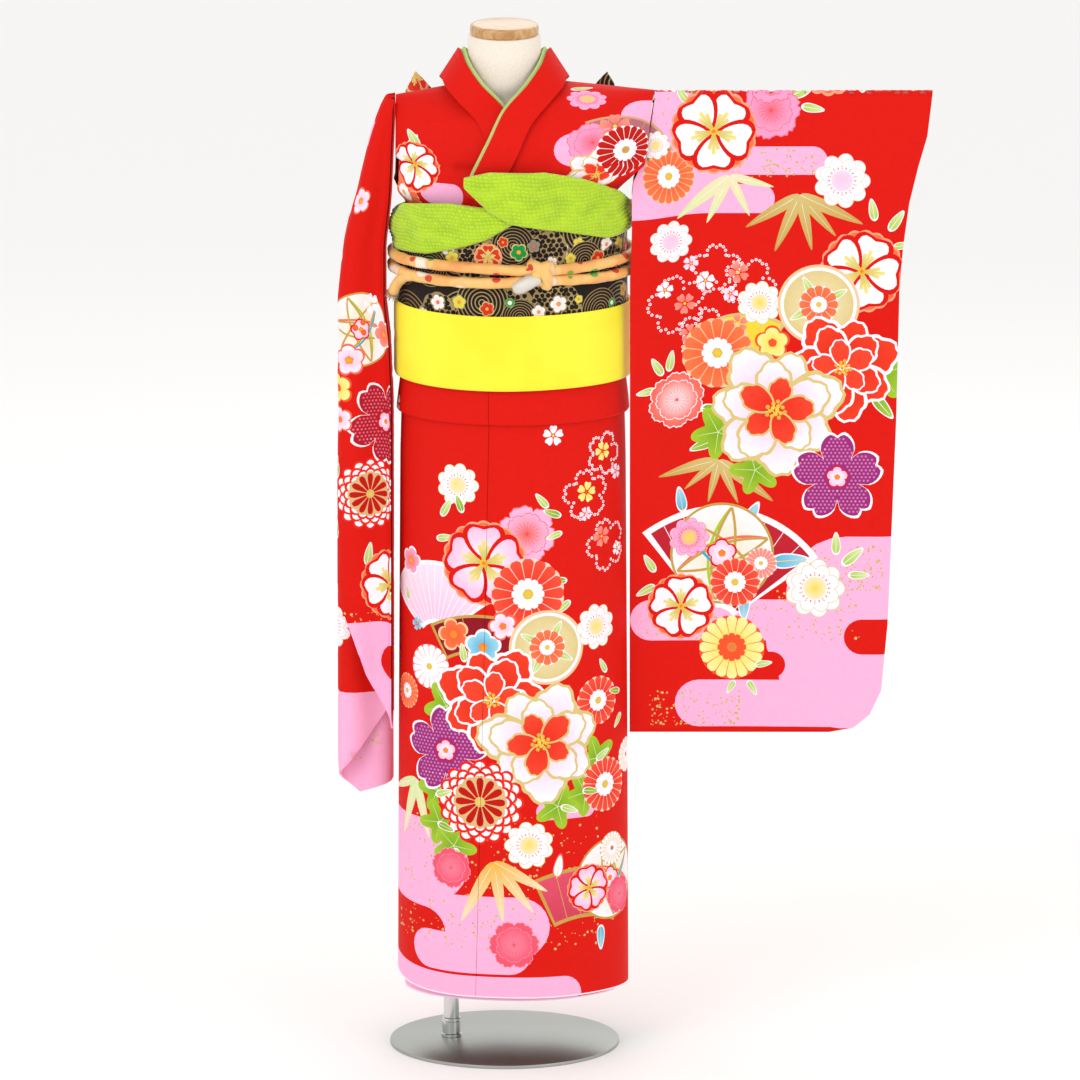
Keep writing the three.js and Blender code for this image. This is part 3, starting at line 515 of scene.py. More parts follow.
SHOULDER_ARC = 135
way_lengths = [0.0]
for (z0, l0, t0), (z1, l1, t1) in zip(WAY, WAY[1:]):
    way_lengths.append(way_lengths[-1] + math.hypot(z1 - z0, l1 - l0) + SHOULDER_ARC * (t1 - t0))
WAY_HALF = way_lengths[-1]
SKIRT_TOP_I = 11
TUCK_FACE_I = 23
CHEST_I = 31
way_z, way_layer, way_turn = (np.array([row[k] for row in WAY]) for k in range(3))


def way_at(t):
    """Height, layer, shoulder turn and face at a length along the cloth."""
    front = t <= WAY_HALF
    at = t if front else 2 * WAY_HALF - t
    return (
        float(np.interp(at, way_lengths, way_z)), float(np.interp(at, way_lengths, way_layer)),
        float(np.interp(at, way_lengths, way_turn)), front,
    )


def panel_limits(left, z, turn, front):
    """Where a body panel starts at the side or armhole and ends at its inner edge."""
    if turn > 0:
        if front:
            x = mix(-16, NECK_EDGE_X, turn**1.2)
        else:
            x = NECK_EDGE_X * math.sin(math.pi / 2 * smooth(turn, 0.36, 1)) + 0.2
    elif front:
        x = read(SEAM_LINE, z)
    else:
        x = mix(BODY_X if left else -BODY_X, 0.2, smooth(z, 930, 1030))
    gap = JOINT_GAP / 2
    end = angle_at(x + gap if left else -x - gap, CHEST_Z if turn > 0 else z)
    start = math.radians(21 * smooth(CHEST_Z if turn > 0 else z, 945, 1010)) + gap / 125
    return (start if left else math.pi - start), end


def body_place(left):
    """Gives the place of a body panel's cloth: round the body and along it."""
    def place(s, t):
        z, layer, turn, front = way_at(t)
        start, end = panel_limits(left, z, turn, front)
        phi = angle_from_round(s)
        u = (phi - start) / (end - start)
        offset = layer
        if front and not left:
            offset += (
                RIGHT_CHEST * (1 - turn) if turn > 0 else mix(INNER_LAYER, RIGHT_CHEST, smooth(z, 900, 990))
            )
            z -= UNDER_DROP * (1 - smooth(z, HEM_Z, 400))
        if not front and not left and turn == 0:
            offset += (1 - smooth(math.pi - phi, 0.02, 0.5)) * (1 - smooth(z, 900, 990)) * INNER_LAYER
        if front and left:
            rise = 1 - turn if turn > 0 else smooth(z, 930, 1000)
            offset += LEFT_CHEST * rise * smooth(u, 0.02, 0.35)
        face = phi if front else -phi
        return shoulder_point(face, turn, offset) if turn > 0 else body_point(face, z, offset)

    return place


def body_border(left):
    """Outline of a body panel laid flat."""
    side, inner = [], []
    for t in sorted(set(list(np.linspace(0, 2 * WAY_HALF, 130)) + way_lengths)):
        z, _, turn, front = way_at(t)
        start, end = panel_limits(left, z, turn, front)
        side.append((round_from_angle(start), t))
        inner.append((round_from_angle(end), t))
    return side + inner[::-1]


def overlap_place(outer):
    """Gives the place of an overlap panel's cloth."""
    def place(s, t):
        z, layer, _, _ = way_at(t)
        phi = angle_from_round(s)
        start, end = overlap_limits(outer, z)
        u = min(1, max(0, (phi - start) / (end - start)))
        fall = 1 - smooth(z, HEM_Z, 400)
        lift = LEFT_CHEST * smooth(z, 930, 1000) if outer else mix(
            INNER_LAYER, RIGHT_CHEST, smooth(z, 900, 990),
        )
        return body_point(phi, z + fall * (CORNER_RISE * u * u if outer else -UNDER_DROP), layer + lift)

    return place


def overlap_limits(outer, z):
    """Where an overlap panel starts and ends round the body at a height."""
    seam = read(SEAM_LINE, z)
    start = angle_at(seam - JOINT_GAP if outer else -seam + JOINT_GAP, z)
    edge = read(OUTER_EDGE, z)
    return start, (edge if outer else math.pi - edge + 0.34)


def overlap_border(outer):
    """Outline of an overlap panel laid flat."""
    first, last = [], []
    top = way_lengths[28]
    for t in sorted(set(list(np.linspace(0, top, 80)) + [w for w in way_lengths if w <= top])):
        start, end = overlap_limits(outer, way_at(t)[0])
        first.append((round_from_angle(start), t))
        last.append((round_from_angle(end), t))
    return first + last[::-1]


# Motifs. Each is a list of outlines with a style: colour at its middle, colour at its rim,
# the middle, the radius over which they change, and how golden it is.
RED = "#DA1408"
PINK, PALE_PINK, WHITE = "#FFB3D9", "#FFE3F2", "#FCF4FA"
CREAM, GOLD, PALE_GOLD = "#EFE0B8", "#C9A24E", "#D9C27C"
ORANGE, CORAL, YELLOW = "#F2552C", "#FB6A5A", "#F5D53A"
PURPLE, BLUE, MAROON = "#9C2C78", "#3FA6D2", "#B01828"
LEAF, PALE_LEAF, DARK_LEAF = "#A6C934", "#D6E6A4", "#7BA822"


def style(inner, outer, x, y, radius, gold=0.0):
    """Colour at the middle and at a radius from it, and how golden it is."""
    return (linear(inner)[:3], linear(outer)[:3], x, y, max(radius, 0.1), gold)


def dyed(color, x=0, y=0, radius=10, gold=0.0):
    """A style of one colour."""
    return style(color, color, x, y, radius, gold)


def polar(x, y, radius, turn):
    """The point at a radius and an angle from a middle."""
    return (x + radius * math.cos(turn), y + radius * math.sin(turn))


def beside(x, y, along, side, turn):
    """The point so far along a direction from a middle, and so far to its side."""
    c, s = math.cos(turn), math.sin(turn)
    return (x + along * c - side * s, y + along * s + side * c)


def staggered(r, pitch):
    """Places in offset rows about a middle, as far out as r."""
    count = int(r / pitch)
    steps = range(-count, count + 1)
    return [((i + 0.5 * (j % 2)) * pitch, j * pitch * 0.87) for i in steps for j in steps]


def rose(x, y, radius, turn, count, deep, sharp=1.0, steps=60):
    """A closed outline of rounded petals, deep being how far the notches between them go in."""
    points = []
    for a in around(steps):
        wave = abs(math.cos(count * (a - turn) / 2)) ** sharp
        points.append(polar(x, y, radius * (1 - deep + deep * wave), a))
    return points


def disc(x, y, radius, steps=60):
    """A plain round outline."""
    return rose(x, y, radius, 0, 1, 0, steps=steps)


def blossom(x, y, radius, turn, notch=0.12, steps=80):
    """Five heart-shaped petals in one outline."""
    points = []
    for a in around(steps):
        k = math.cos(5 * (a - turn) / 2)
        near = (5 * (a - turn) / math.pi / 2) % 1
        near = min(near, 1 - near)
        points.append(
            polar(x, y, radius * (0.5 + 0.5 * abs(k) ** 0.55 - notch * math.exp(-((near / 0.07) ** 2))), a)
        )
    return points


def bar(x0, y0, x1, y1, width, end_width=None):
    """A straight bar between two points, with its width at each end."""
    end_width = width if end_width is None else end_width
    length = math.hypot(x1 - x0, y1 - y0) or 1
    nx, ny = -(y1 - y0) / length / 2, (x1 - x0) / length / 2
    return [
        (x0 + nx * width, y0 + ny * width), (x0 - nx * width, y0 - ny * width),
        (x1 - nx * end_width, y1 - ny * end_width), (x1 + nx * end_width, y1 + ny * end_width),
    ]


def petal_heart(x, y, r, turn, grow, wide=0.6):
    """One heart-shaped petal from the flower's middle, with its notch at the rim."""
    points = []
    for i, a in enumerate(around(22)):
        along = r * (0.55 - 0.45 * math.cos(a) * grow)
        notch = 0.13 * r * math.exp(-(((i - 11) / 1.3) ** 2))
        side = wide * r * 0.62 * math.sin(a) * grow * (1 - 0.38 * math.cos(a))
        points.append(beside(x, y, along - notch, side, turn))
    return points


def cherry(x, y, r, turn=0.0, petal=WHITE, rim=WHITE, edge=RED, eye=YELLOW):
    """Five separate heart petals, each outlined, over a scalloped flower in a second colour."""
    shapes = [(rose(x, y, r * 1.04, turn + 0.31, 20, 0.05, 1, 120), dyed("#FFA080", x, y, r)),
              (rose(x, y, r * 0.99, turn + 0.31, 20, 0.05, 1, 120), style("#F4603A", "#FF7448", x, y, r))]
    for a in around(5, turn):
        shapes.append((petal_heart(x, y, r, a, 1.06, 0.74), dyed(edge, x, y, r)))
        shapes.append((petal_heart(x, y, r, a, 0.88, 0.68), style(petal, rim, x, y, r)))
        for swing, reach in ((-0.24, 0.45), (0, 0.56), (0.24, 0.45)):
            tip = polar(x, y, reach * r, a + swing)
            shapes.append((bar(x, y, *tip, r * 0.03, r * 0.1), style("#C9B45A", "#F3E38A", x, y, r * 0.6)))
    shapes.append((disc(x, y, r * 0.09, 12), style(ORANGE, eye, x, y, r * 0.1)))
    return shapes


def ruffle(x, y, r, turn=0.0, petal=WHITE, rim=WHITE, edge=CORAL, eye=PINK):
    """A frilled double blossom: two rows of petals, a soft middle and a ring of small dots."""
    shapes = []
    for reach, half, count, shift in ((0.68, 0.3, 9, 0.0), (0.56, 0.26, 8, 0.35)):
        for size, inner, outer in ((1.0, edge, edge), (0.92, petal, rim)):
            for a in around(count, turn + shift):
                outline = rose(*polar(x, y, reach * r, a), half * r * size, a, 3, 0.05, steps=20)
                shapes.append((outline, style(inner, outer, x, y, r)))
    shapes.append((rose(x, y, r * 0.6, 0, 8, 0.03, steps=32), dyed(petal, x, y, r)))
    shapes.append((rose(x, y, r * 0.38, 0, 12, 0.05, steps=48), style(eye, petal, x, y, r * 0.75)))
    for k, a in enumerate(around(20)):
        for ring in (0.43, 0.5 if k % 2 else 0.47):
            shapes.append((disc(*polar(x, y, ring * r, a), r * 0.02 + 0.15, 5), dyed("#E23A2E", x, y, r)))
    return shapes


def double_cherry(x, y, r, turn=0.0, petal=PINK, rim=WHITE, edge=CORAL, eye=YELLOW):
    """A many-petalled cherry with notched petals, deeper in the middle, and fine stamens."""
    shapes = []
    for size, shift in ((1.0, 0.0), (0.74, 0.52)):
        outline = []
        for a in around(120):
            k = abs(math.cos(3 * (a - turn - shift)))
            wave = 0.8 + 0.2 * k**0.45 - 0.07 * max(0, (k - 0.97) / 0.03) + 0.02 * math.sin(30 * a)
            outline.append(polar(x, y, r * size * wave, a))
        trim = [(x + (px - x) * 0.96, y + (py - y) * 0.96) for px, py in outline]
        shapes.append((outline, dyed(edge, x, y, r)))
        shapes.append((trim, style(edge, petal, x, y, r * 0.75)))
    for a in around(18, turn):
        shapes.append((bar(x, y, *polar(x, y, r * 0.42, a), r * 0.012), dyed("#E8504A", x, y, r)))
    return shapes


def ray(x, y, turn, near, far, half):
    """One long round-ended petal, from near to far of the middle."""
    side = [(0, 0.3), (0.35, 0.7), (0.7, 1), (0.88, 0.85), (0.97, 0.45)]
    side += [(along, -out) for along, out in reversed(side)]
    return [beside(x, y, mix(near, far, along), half * out, turn) for along, out in side]


def mum(x, y, r, turn=0.0, petal=ORANGE, rim=CORAL, edge=WHITE, eye=YELLOW, count=20):
    """Chrysanthemum: many narrow petals with pale lines between them and a small pale one inside."""
    shapes = [(rose(x, y, r, turn + math.pi / count, count, 0.07, 0.7, 5 * count), dyed(edge, x, y, r))]
    for a in around(count, turn):
        shapes.append((ray(x, y, a, 0.2 * r, r, 2.75 * r / count), style(petal, rim, x, y, r)))
    for k in range(count):
        a = turn + 2 * math.pi * (k + 0.5) / count
        line = bar(*polar(x, y, 0.3 * r, a), *polar(x, y, 0.93 * r, a), 0.008 * r, 0.028 * r)
        shapes.append((line, dyed(edge, x, y, r)))
    inner = WHITE if petal != YELLOW else ORANGE
    for a in around(12, turn):
        shapes.append((ray(x, y, a, 0.08 * r, 0.45 * r, 0.1 * r), dyed(inner, x, y, r)))
    shapes.append((rose(x, y, r * 0.15, 0, 6, 0.12, steps=18), style(eye, GOLD, x, y, r * 0.2)))
    return shapes


def daisy(x, y, r, turn=0.0, petal=RED, rim=CORAL, edge=WHITE, eye=YELLOW):
    """A chrysanthemum with fewer petals."""
    return mum(x, y, r, turn, petal, rim, edge, eye, 16)


def plum(x, y, r, turn=0.0, petal=CORAL, rim=PINK, edge=WHITE, eye=YELLOW):
    """A small flower of five round petals in one outline."""
    return [
        (rose(x, y, r, turn, 5, 0.3, 0.6), dyed(edge, x, y, r)),
        (rose(x, y, r * 0.86, turn, 5, 0.3, 0.6), style(petal, rim, x, y, r)),
        (rose(x, y, r * 0.26, turn, 5, 0.2, steps=15), style(eye, ORANGE, x, y, r * 0.3)),
    ]


def frilled(x, y, r, turn, grow, wide):
    """One broad petal with a frilled rim."""
    points = []
    for a in around(28):
        tip = 0.5 - 0.5 * math.cos(a)
        frill = 1 + tip * (0.035 * math.cos(9 * a) + 0.05 * math.cos(4 * a))
        along = r * (0.54 - 0.46 * math.cos(a) * grow) * frill
        points.append(beside(x, y, along, wide * r * math.sin(a) * grow * (0.75 + 0.5 * tip), turn))
    return points


def peony(x, y, r, turn=0.0, petal="#E8301A", rim=CORAL, edge=WHITE, eye=YELLOW):
    """Three rows of frilled petals, each with a fine rim, about a tuft of stamens."""
    shapes = []
    heart = petal if eye == YELLOW else eye
    for count, reach, start in ((7, 1.0, 0.0), (5, 0.8, 0.4), (5, 0.56, 0.1)):
        near, far = (heart, "#F0452E") if reach < 0.6 else (rim, petal)
        for k in range(count):
            a = turn + start + 2 * math.pi * ((2 * k) % count) / count
            q = r * reach * (1 + 0.08 * math.sin(3 * a + reach))
            shapes.append((frilled(x, y, q, a, 1.07, 0.36), dyed(edge, x, y, r)))
            shapes.append((frilled(x, y, q, a, 0.97, 0.33), style(near, far, x, y, q)))
    for k in range(14):
        spot = polar(x, y, r * 0.16 * math.sqrt((k + 0.5) / 14), 2.4 * k)
        shapes.append((disc(*spot, r * 0.035, 7), style(YELLOW, GOLD, x, y, r * 0.2)))
    return shapes


def lobed(x, y, r, turn=0.0, petal=LEAF, rim=PALE_LEAF, edge=WHITE, eye=WHITE):
    """A five-pointed leaf with its veins."""
    shapes = [(rose(x, y, r, turn, 5, 0.48, 1.7, 80), style(DARK_LEAF, petal, x, y, r))]
    for a in around(5, turn):
        shapes.append((bar(x, y, *polar(x, y, 0.8 * r, a), r * 0.03, r * 0.01), dyed(rim, x, y, r)))
    return shapes


def five(x, y, r, turn=0.0, petal=WHITE, rim=WHITE, edge=WHITE, eye=YELLOW):
    """A small flower of five free petals."""
    shapes = [(petal_heart(x, y, r, a, 0.86, 0.56), style(petal, rim, x, y, r)) for a in around(5, turn)]
    return shapes + [(disc(x, y, r * 0.12, 8), dyed(eye, x, y, r))]


def shibori(x, y, r, turn=0.0, petal=PURPLE, rim="#C86AA8", edge=WHITE, eye=YELLOW):
    """A blossom filled with rows of small tie-dyed rings and a small flower in its middle."""
    shapes = [
        (blossom(x, y, r, turn), dyed(edge, x, y, r)), (blossom(x, y, r * 0.94, turn), dyed(petal, x, y, r)),
    ]
    for px, py in staggered(r, 4.6):
        a, q = math.atan2(py, px), math.hypot(px, py)
        k = abs(math.cos(5 * (a - turn) / 2)) ** 0.55
        if 0.26 * r < q < r * (0.42 + 0.44 * k):
            shapes.append(
                (rose(x + px, y + py, 1.35, 0.4, 4, 0.1, steps=8), style(edge, rim, x + px, y + py, 1.4))
            )
    return shapes + plum(x, y, r * 0.25, turn, WHITE, PINK, RED, eye)


def ring_dots(x, y, r, turn=0.0, petal=WHITE, rim=PINK, edge=RED, eye=YELLOW):
    """An open blossom outline drawn in dots."""
    shapes = []
    for px, py in blossom(x, y, r, turn, steps=44):
        shapes.append((rose(px, py, 1.8, 0, 3, 0, steps=9), dyed(petal, x, y, r)))
        shapes.append((rose(px, py, 0.85, 0, 3, 0, steps=6), dyed(edge, x, y, r)))
    return shapes


def medallion(x, y, r, turn=0.0, petal=ORANGE, rim=CORAL, edge=RED, eye=YELLOW):
    """A round badge with a flower of its own: plain rings about a chrysanthemum and leaves."""
    shapes = [(disc(x, y, r), dyed(edge, x, y, r)), (disc(x, y, r * 0.93), dyed(WHITE, x, y, r)),
              (disc(x, y, r * 0.85), style(CREAM, PALE_GOLD, x, y, r))]
    for k in range(4):
        a = turn + math.pi * k / 2 + 0.5
        shapes += leaf(*polar(x, y, 0.3 * r, a), r * 0.5, a)
    return shapes + mum(x, y, r * 0.48, turn, petal, rim, WHITE, eye, 12)


def scallop_medallion(x, y, r, turn=0.0, petal=CORAL, rim=PINK, edge=GOLD, eye=YELLOW):
    """A round badge: rows of white scales edged in red about a gold middle with long dark petals."""
    shapes = []
    for size, shift in ((0.85, 0.0), (0.71, 0.2), (0.58, 0.0)):
        for a in around(16, turn + shift):
            c, d = math.cos(a) * r, math.sin(a) * r
            for reach, half, color in ((size, 0.155, "#E8261A"), (size - 0.025, 0.115, WHITE),
                                       (size - 0.09, 0.06, PALE_GOLD)):
                scale = rose(x + reach * c, y + reach * d, r * half, a, 2, 0, steps=14)
                shapes.append((scale, dyed(color, x, y, r)))
    shapes.append(
        (rose(x, y, r * 0.62, turn, 12, 0.06, 0.7, 72), style("#E3BE84", "#D8B47C", x, y, r, 0.15))
    )
    for a in around(12, turn):
        shapes.append((ray(x, y, a, 0.12 * r, 0.58 * r, 0.085 * r), dyed("#C01408", x, y, r)))
    shapes.append((rose(x, y, r * 0.1, 0, 6, 0.12, steps=18), style(eye, "#D8C070", x, y, r * 0.1)))
    return shapes


def leaf(x, y, length, turn=0.0, petal=LEAF, rim=PALE_LEAF, edge=WHITE, eye=WHITE, wide=0.5):
    """A pointed oval leaf with a rim and its middle vein, from its stem at x, y."""
    shapes = []
    for grow, fill in ((1.0, dyed(edge, x, y, length)), (0.84, style(petal, rim, x, y, length))):
        outline = []
        for a in around(24):
            side = wide * length * 0.5 * math.sin(a) * (0.75 + 0.25 * math.cos(a)) * grow
            outline.append(beside(x, y, length / 2 * (1 - math.cos(a) * grow), side, turn))
        shapes.append((outline, fill))
    c, s = math.cos(turn), math.sin(turn)
    vein = bar(x, y, x + c * length * 0.86, y + s * length * 0.86, length * 0.03, length * 0.01)
    return shapes + [(vein, dyed(eye, x, y, length))]


def blade(x, y, tip_x, tip_y, petal, rim, gold=0.0):
    """A long bamboo leaf from its stem to its tip, with its middle line."""
    length = math.hypot(tip_x - x, tip_y - y)
    c, s = (tip_x - x) / length, (tip_y - y) / length
    outline = []
    for a in around(20):
        along = length / 2 * (1 - math.cos(a))
        side = 0.085 * length * math.sin(a) * (1 + 0.5 * math.cos(a))
        outline.append((x + c * along - s * side, y + s * along + c * side))
    line = bar(x, y, x + c * length * 0.9, y + s * length * 0.9, 0.5, 0.2)
    return [(outline, style(petal, rim, x, y, length, gold)), (line, dyed(WHITE, x, y, length))]


def fan(x, y, inner, outer, low, high, petal=MAROON, rim=PINK, edge=GOLD, ribs=9, gold=0.6):
    """A folding-fan shape: a bordered sector with ribs."""

    def arc(r, a0, a1, steps=24):
        return [polar(x, y, r, mix(a0, a1, i / steps)) for i in range(steps + 1)]

    shapes = [(arc(outer, low, high) + arc(inner, high, low), dyed(edge, x, y, outer, gold))]
    rim_w = 0.05 * (outer - inner) + 1.2
    trim = rim_w / outer
    shapes.append((arc(outer - rim_w, low + trim, high - trim) + arc(inner + rim_w, high - trim, low + trim),
                   style(petal, rim, x, y, outer)))
    for k in range(1, ribs):
        a = mix(low, high, k / ribs)
        rib = bar(*polar(x, y, inner, a), *polar(x, y, outer - rim_w, a), 0.8)
        shapes.append((rib, dyed(edge, x, y, outer, gold)))
    return shapes


def thread_ball(x, y, r, turn=0.0, petal=CREAM, rim=WHITE, edge=GOLD, eye=RED):
    """A wound ball: crossing bands of thread on a pale ground."""
    shapes = [(disc(x, y, r), dyed(edge, x, y, r, 0.8)), (disc(x, y, r * 0.95), style(petal, rim, x, y, r))]
    for k, color in enumerate((CORAL, LEAF, BLUE)):
        a = turn + math.pi * k / 3
        for bow, tint in ((0.55, color), (0.4, GOLD), (-0.4, GOLD)):
            outline = []
            for i in range(13):
                q = mix(-0.93, 0.93, i / 12)
                outline.append((q * r, bow * r * (1 - q * q / 0.87) * 0.5))
            outline += [(px, py - 0.055 * r) for px, py in reversed(outline)]
            shapes.append(([beside(x, y, px, py, a) for px, py in outline],
                           dyed(tint, x, y, r, 0.7 if tint == GOLD else 0)))
    return shapes + plum(x, y, r * 0.3, turn, WHITE, PINK, eye, YELLOW)


def berries(x, y, r, turn=0.0, petal=ORANGE, rim=YELLOW, edge=WHITE, eye=WHITE):
    """Three round berries."""
    spots = [polar(x, y, 0.6 * r, a) for a in (turn, turn + 2.1, turn + 4.2)]
    return [(disc(*spot, r * 0.33, 14), style(rim, petal, *spot, r * 0.33)) for spot in spots]


KINDS = {
    "cherry": cherry, "double": double_cherry, "mum": mum, "daisy": daisy, "plum": plum, "peony": peony,
    "shibori": shibori, "dots": ring_dots, "medal": medallion, "scallop": scallop_medallion, "leaf": leaf,
    "ball": thread_ball, "berries": berries, "ruffle": ruffle, "lobed": lobed, "five": five,
}
# Colour sets: petal, rim, edge, eye.
TINTS = {
    "white": (WHITE, PINK, RED, YELLOW), "snow": (WHITE, WHITE, CORAL, YELLOW),
    "pink": (PINK, WHITE, CORAL, YELLOW), "rose": (CORAL, PINK, WHITE, YELLOW),
    "coral": (CORAL, "#FF9A8A", WHITE, YELLOW), "orange": ("#F2552C", "#FF7A4A", "#FFC79A", YELLOW),
    "red": ("#DE2212", "#F4523C", "#FFD0BC", YELLOW), "peony_white": (WHITE, PINK, PALE_GOLD, "#E32614"),
    "peony_red": ("#EE3C22", "#D01C0C", WHITE, YELLOW), "deep": (MAROON, "#E0506A", WHITE, YELLOW),
    "yellow": (YELLOW, "#FFF0A0", ORANGE, ORANGE), "purple": (PURPLE, "#C86AA8", WHITE, YELLOW),
    "blue": (BLUE, "#A8DCEE", WHITE, YELLOW), "green": (LEAF, PALE_LEAF, WHITE, WHITE),
    "dark": (DARK_LEAF, LEAF, WHITE, WHITE), "cream": (CREAM, WHITE, GOLD, RED),
    "glow": ("#F0566C", PINK, "#F28CA8", "#E8384E"), "amber": ("#EFAA2C", "#F7CC58", "#FFF3D6", YELLOW),
    "plain": (WHITE, PINK, RED, YELLOW), "crest": ("#B01208", "#C81A0C", WHITE, GOLD),
    "framed": (WHITE, WHITE, RED, YELLOW), "blush": ("#FF9CC4", PINK, "#F6708C", YELLOW),
    "petal": (WHITE, WHITE, "#E9C7B0", PINK), "sun": (WHITE, WHITE, PALE_GOLD, YELLOW),
}


def cloud(x0, y0, x1, y1, half, fill=PINK):
    """A long drifting bank of cloud with round ends."""
    a = math.atan2(y1 - y0, x1 - x0)
    points = [polar(x0, y0, half, a + math.pi / 2 + math.pi * i / 12) for i in range(13)]
    points += [polar(x1, y1, half, a - math.pi / 2 + math.pi * i / 12) for i in range(13)]
    return [(points, dyed(fill, x0, y0))]


def gold_dust(x0, y0, x1, y1, count, seed):
    """Scattered flecks of gold leaf."""
    dice = random.Random(seed)
    flecks = []
    for _ in range(count):
        x, y = mix(x0, x1, dice.random()), mix(y0, y1, dice.random() ** 1.3)
        size = mix(0.7, 2.2, dice.random() ** 2)
        flecks.append(
            (rose(x, y, size, dice.random() * 3, 4, 0.3, steps=5), style(GOLD, PALE_GOLD, x, y, 2, 0.9))
        )
    return flecks


def paint(rows, spot, scale=PIXEL_MM):
    """Motifs of a table: kind, across, up, radius, turn in degrees, colour set."""
    shapes = []
    for kind, px, py, r, turn, tint in rows:
        x, y = spot(px, py)
        if kind == "cloud":
            end, _ = spot(px + turn, py)
            shapes += cloud(x, y, end, y, r * scale, RED if tint == "red" else TINTS[tint][0])
            continue
        shapes += KINDS[kind](x, y, r * scale, math.radians(turn), *TINTS[tint])
    return shapes


def stepped(points, shortest=1.2, longest=9.0):
    """The outline with long sides divided, to follow a curved place, and the closest points left out."""
    kept = points[:1]
    for p in points[1:]:
        if len(points) < 16 or math.dist(p, kept[-1]) > shortest:
            kept.append(p)
    divided = []
    for a, b in zip(kept, kept[1:] + kept[:1]):
        count = max(1, math.ceil(math.dist(a, b) / longest))
        divided += [(mix(a[0], b[0], k / count), mix(a[1], b[1], k / count)) for k in range(count)]
    return divided


def signed_area(points):
    """The area within an outline, negative where it runs clockwise."""
    return sum(a[0] * b[1] - b[0] * a[1] for a, b in zip(points, points[1:] + points[:1])) / 2


def directions(points, faces):
    """Mean direction of the triangles about each point, and nothing for points that none of them has."""
    a, b, c = (points[faces[:, k]] for k in range(3))
    total = np.zeros_like(points)
    for k in range(3):
        np.add.at(total, faces[:, k], np.cross(b - a, c - a))
    return total / np.maximum(np.linalg.norm(total, axis=1), 1e-9)[:, None]


def cut_cloth(name, border, across, along, shapes, ground, place, materials, thickness, flip=True):
    """A wall of cloth: a flat cut divided along its printed outlines, a plain back and a rim, in place."""
    points = [Vector(p) for p in border]
    faces = [list(range(len(border)))]
    if signed_area(border) < 0:
        faces[0].reverse()
    lows = np.min(border, axis=0)
    highs = np.max(border, axis=0)
    fills = [ground]
    for outline, fill in shapes:
        box = np.array(outline)
        if (box.max(axis=0) < lows).any() or (box.min(axis=0) > highs).any():
            continue
        start = len(points)
        outline = stepped(outline)
        points += [Vector(p) for p in outline]
        loop = list(range(start, len(points)))
        faces.append(loop if signed_area(outline) > 0 else loop[::-1])
        fills.append(fill)
    grid = [Vector((x, y)) for y in along for x in across]
    flat, _, triangles, _, _, origins = delaunay_2d_cdt(points + grid, [], faces, 0, 1e-4)
    front = [(tri, max(o)) for tri, o in zip(triangles, origins) if 0 in o]
    sides = {(tri[k], tri[(k + 1) % 3]): fill for tri, fill in front for k in range(3)}
    ahead = {a: b for a, b in sides if (b, a) not in sides}
    rim = [next(iter(ahead))]
    while ahead[rim[-1]] != rim[0]:
        rim.append(ahead[rim[-1]])
    back_flat, _, triangles, sources, _, origins = delaunay_2d_cdt(
        [flat[v] for v in rim] + grid, [], [list(range(len(rim)))], 0, 1e-4
    )
    back = [tri for tri, o in zip(triangles, origins) if o]
    twin = {source: v for v, many in enumerate(sources) for source in many}
    front_used = sorted({v for tri, _ in front for v in tri})
    back_used = sorted({v for tri in back for v in tri})
    on_front = {v: i for i, v in enumerate(front_used)}
    on_back = {v: len(front_used) + i for i, v in enumerate(back_used)}
    spots = [flat[v] for v in front_used] + [back_flat[v] for v in back_used]
    turn = -1 if flip else 1
    front_faces = [[on_front[v] for v in tri][::turn] for tri, _ in front]
    back_faces = [[on_back[v] for v in tri][::-turn] for tri in back]
    rim_faces, rim_fills = [], []
    for i, a in enumerate(rim):
        k = (i + 1) % len(rim)
        rim_faces.append([on_front[rim[k]], on_front[a], on_back[twin[i]], on_back[twin[k]]][::turn])
        rim_fills.append(sides[a, rim[k]])
    placed = np.array([place(p.x, p.y) for p in spots])
    walls = [directions(placed, np.array(side)) for side in (front_faces, back_faces)]
    placed += (walls[0] + walls[1]) * thickness / 2
    loops = front_faces + back_faces + rim_faces
    piece = add_piece(name, placed.tolist(), loops, materials)
    mesh = piece.data
    owners = [0] * len(front) + [len(materials) - 1] * len(back) + [0] * len(rim)
    mesh.polygons.foreach_set("material_index", owners)
    mesh.set_sharp_from_angle(angle=math.radians(65))
    corner = np.array([v for loop in loops for v in loop])
    xy = np.array([tuple(p) for p in spots])[corner]
    rows = np.array([[*fill[0], *fill[1], *fill[2:]] for fill in fills])
    used = np.array([k for _, k in front] + [0] * len(back) + rim_fills)
    rows = rows[used].repeat([len(loop) for loop in loops], axis=0)
    t = np.clip(np.hypot(xy[:, 0] - rows[:, 6], xy[:, 1] - rows[:, 7]) / rows[:, 8], 0, 1)[:, None]
    color = np.ones((len(corner), 4), dtype=np.float32)
    color[:, :3] = rows[:, 0:3] * (1 - t) + rows[:, 3:6] * t
    color[:, 3] = rows[:, 9]
    mesh.color_attributes.new("print", "FLOAT_COLOR", "CORNER").data.foreach_set("color", color.ravel())
    mesh.uv_layers.new(name="cut").data.foreach_set("uv", (xy * MM).astype(np.float32).ravel())
    return piece


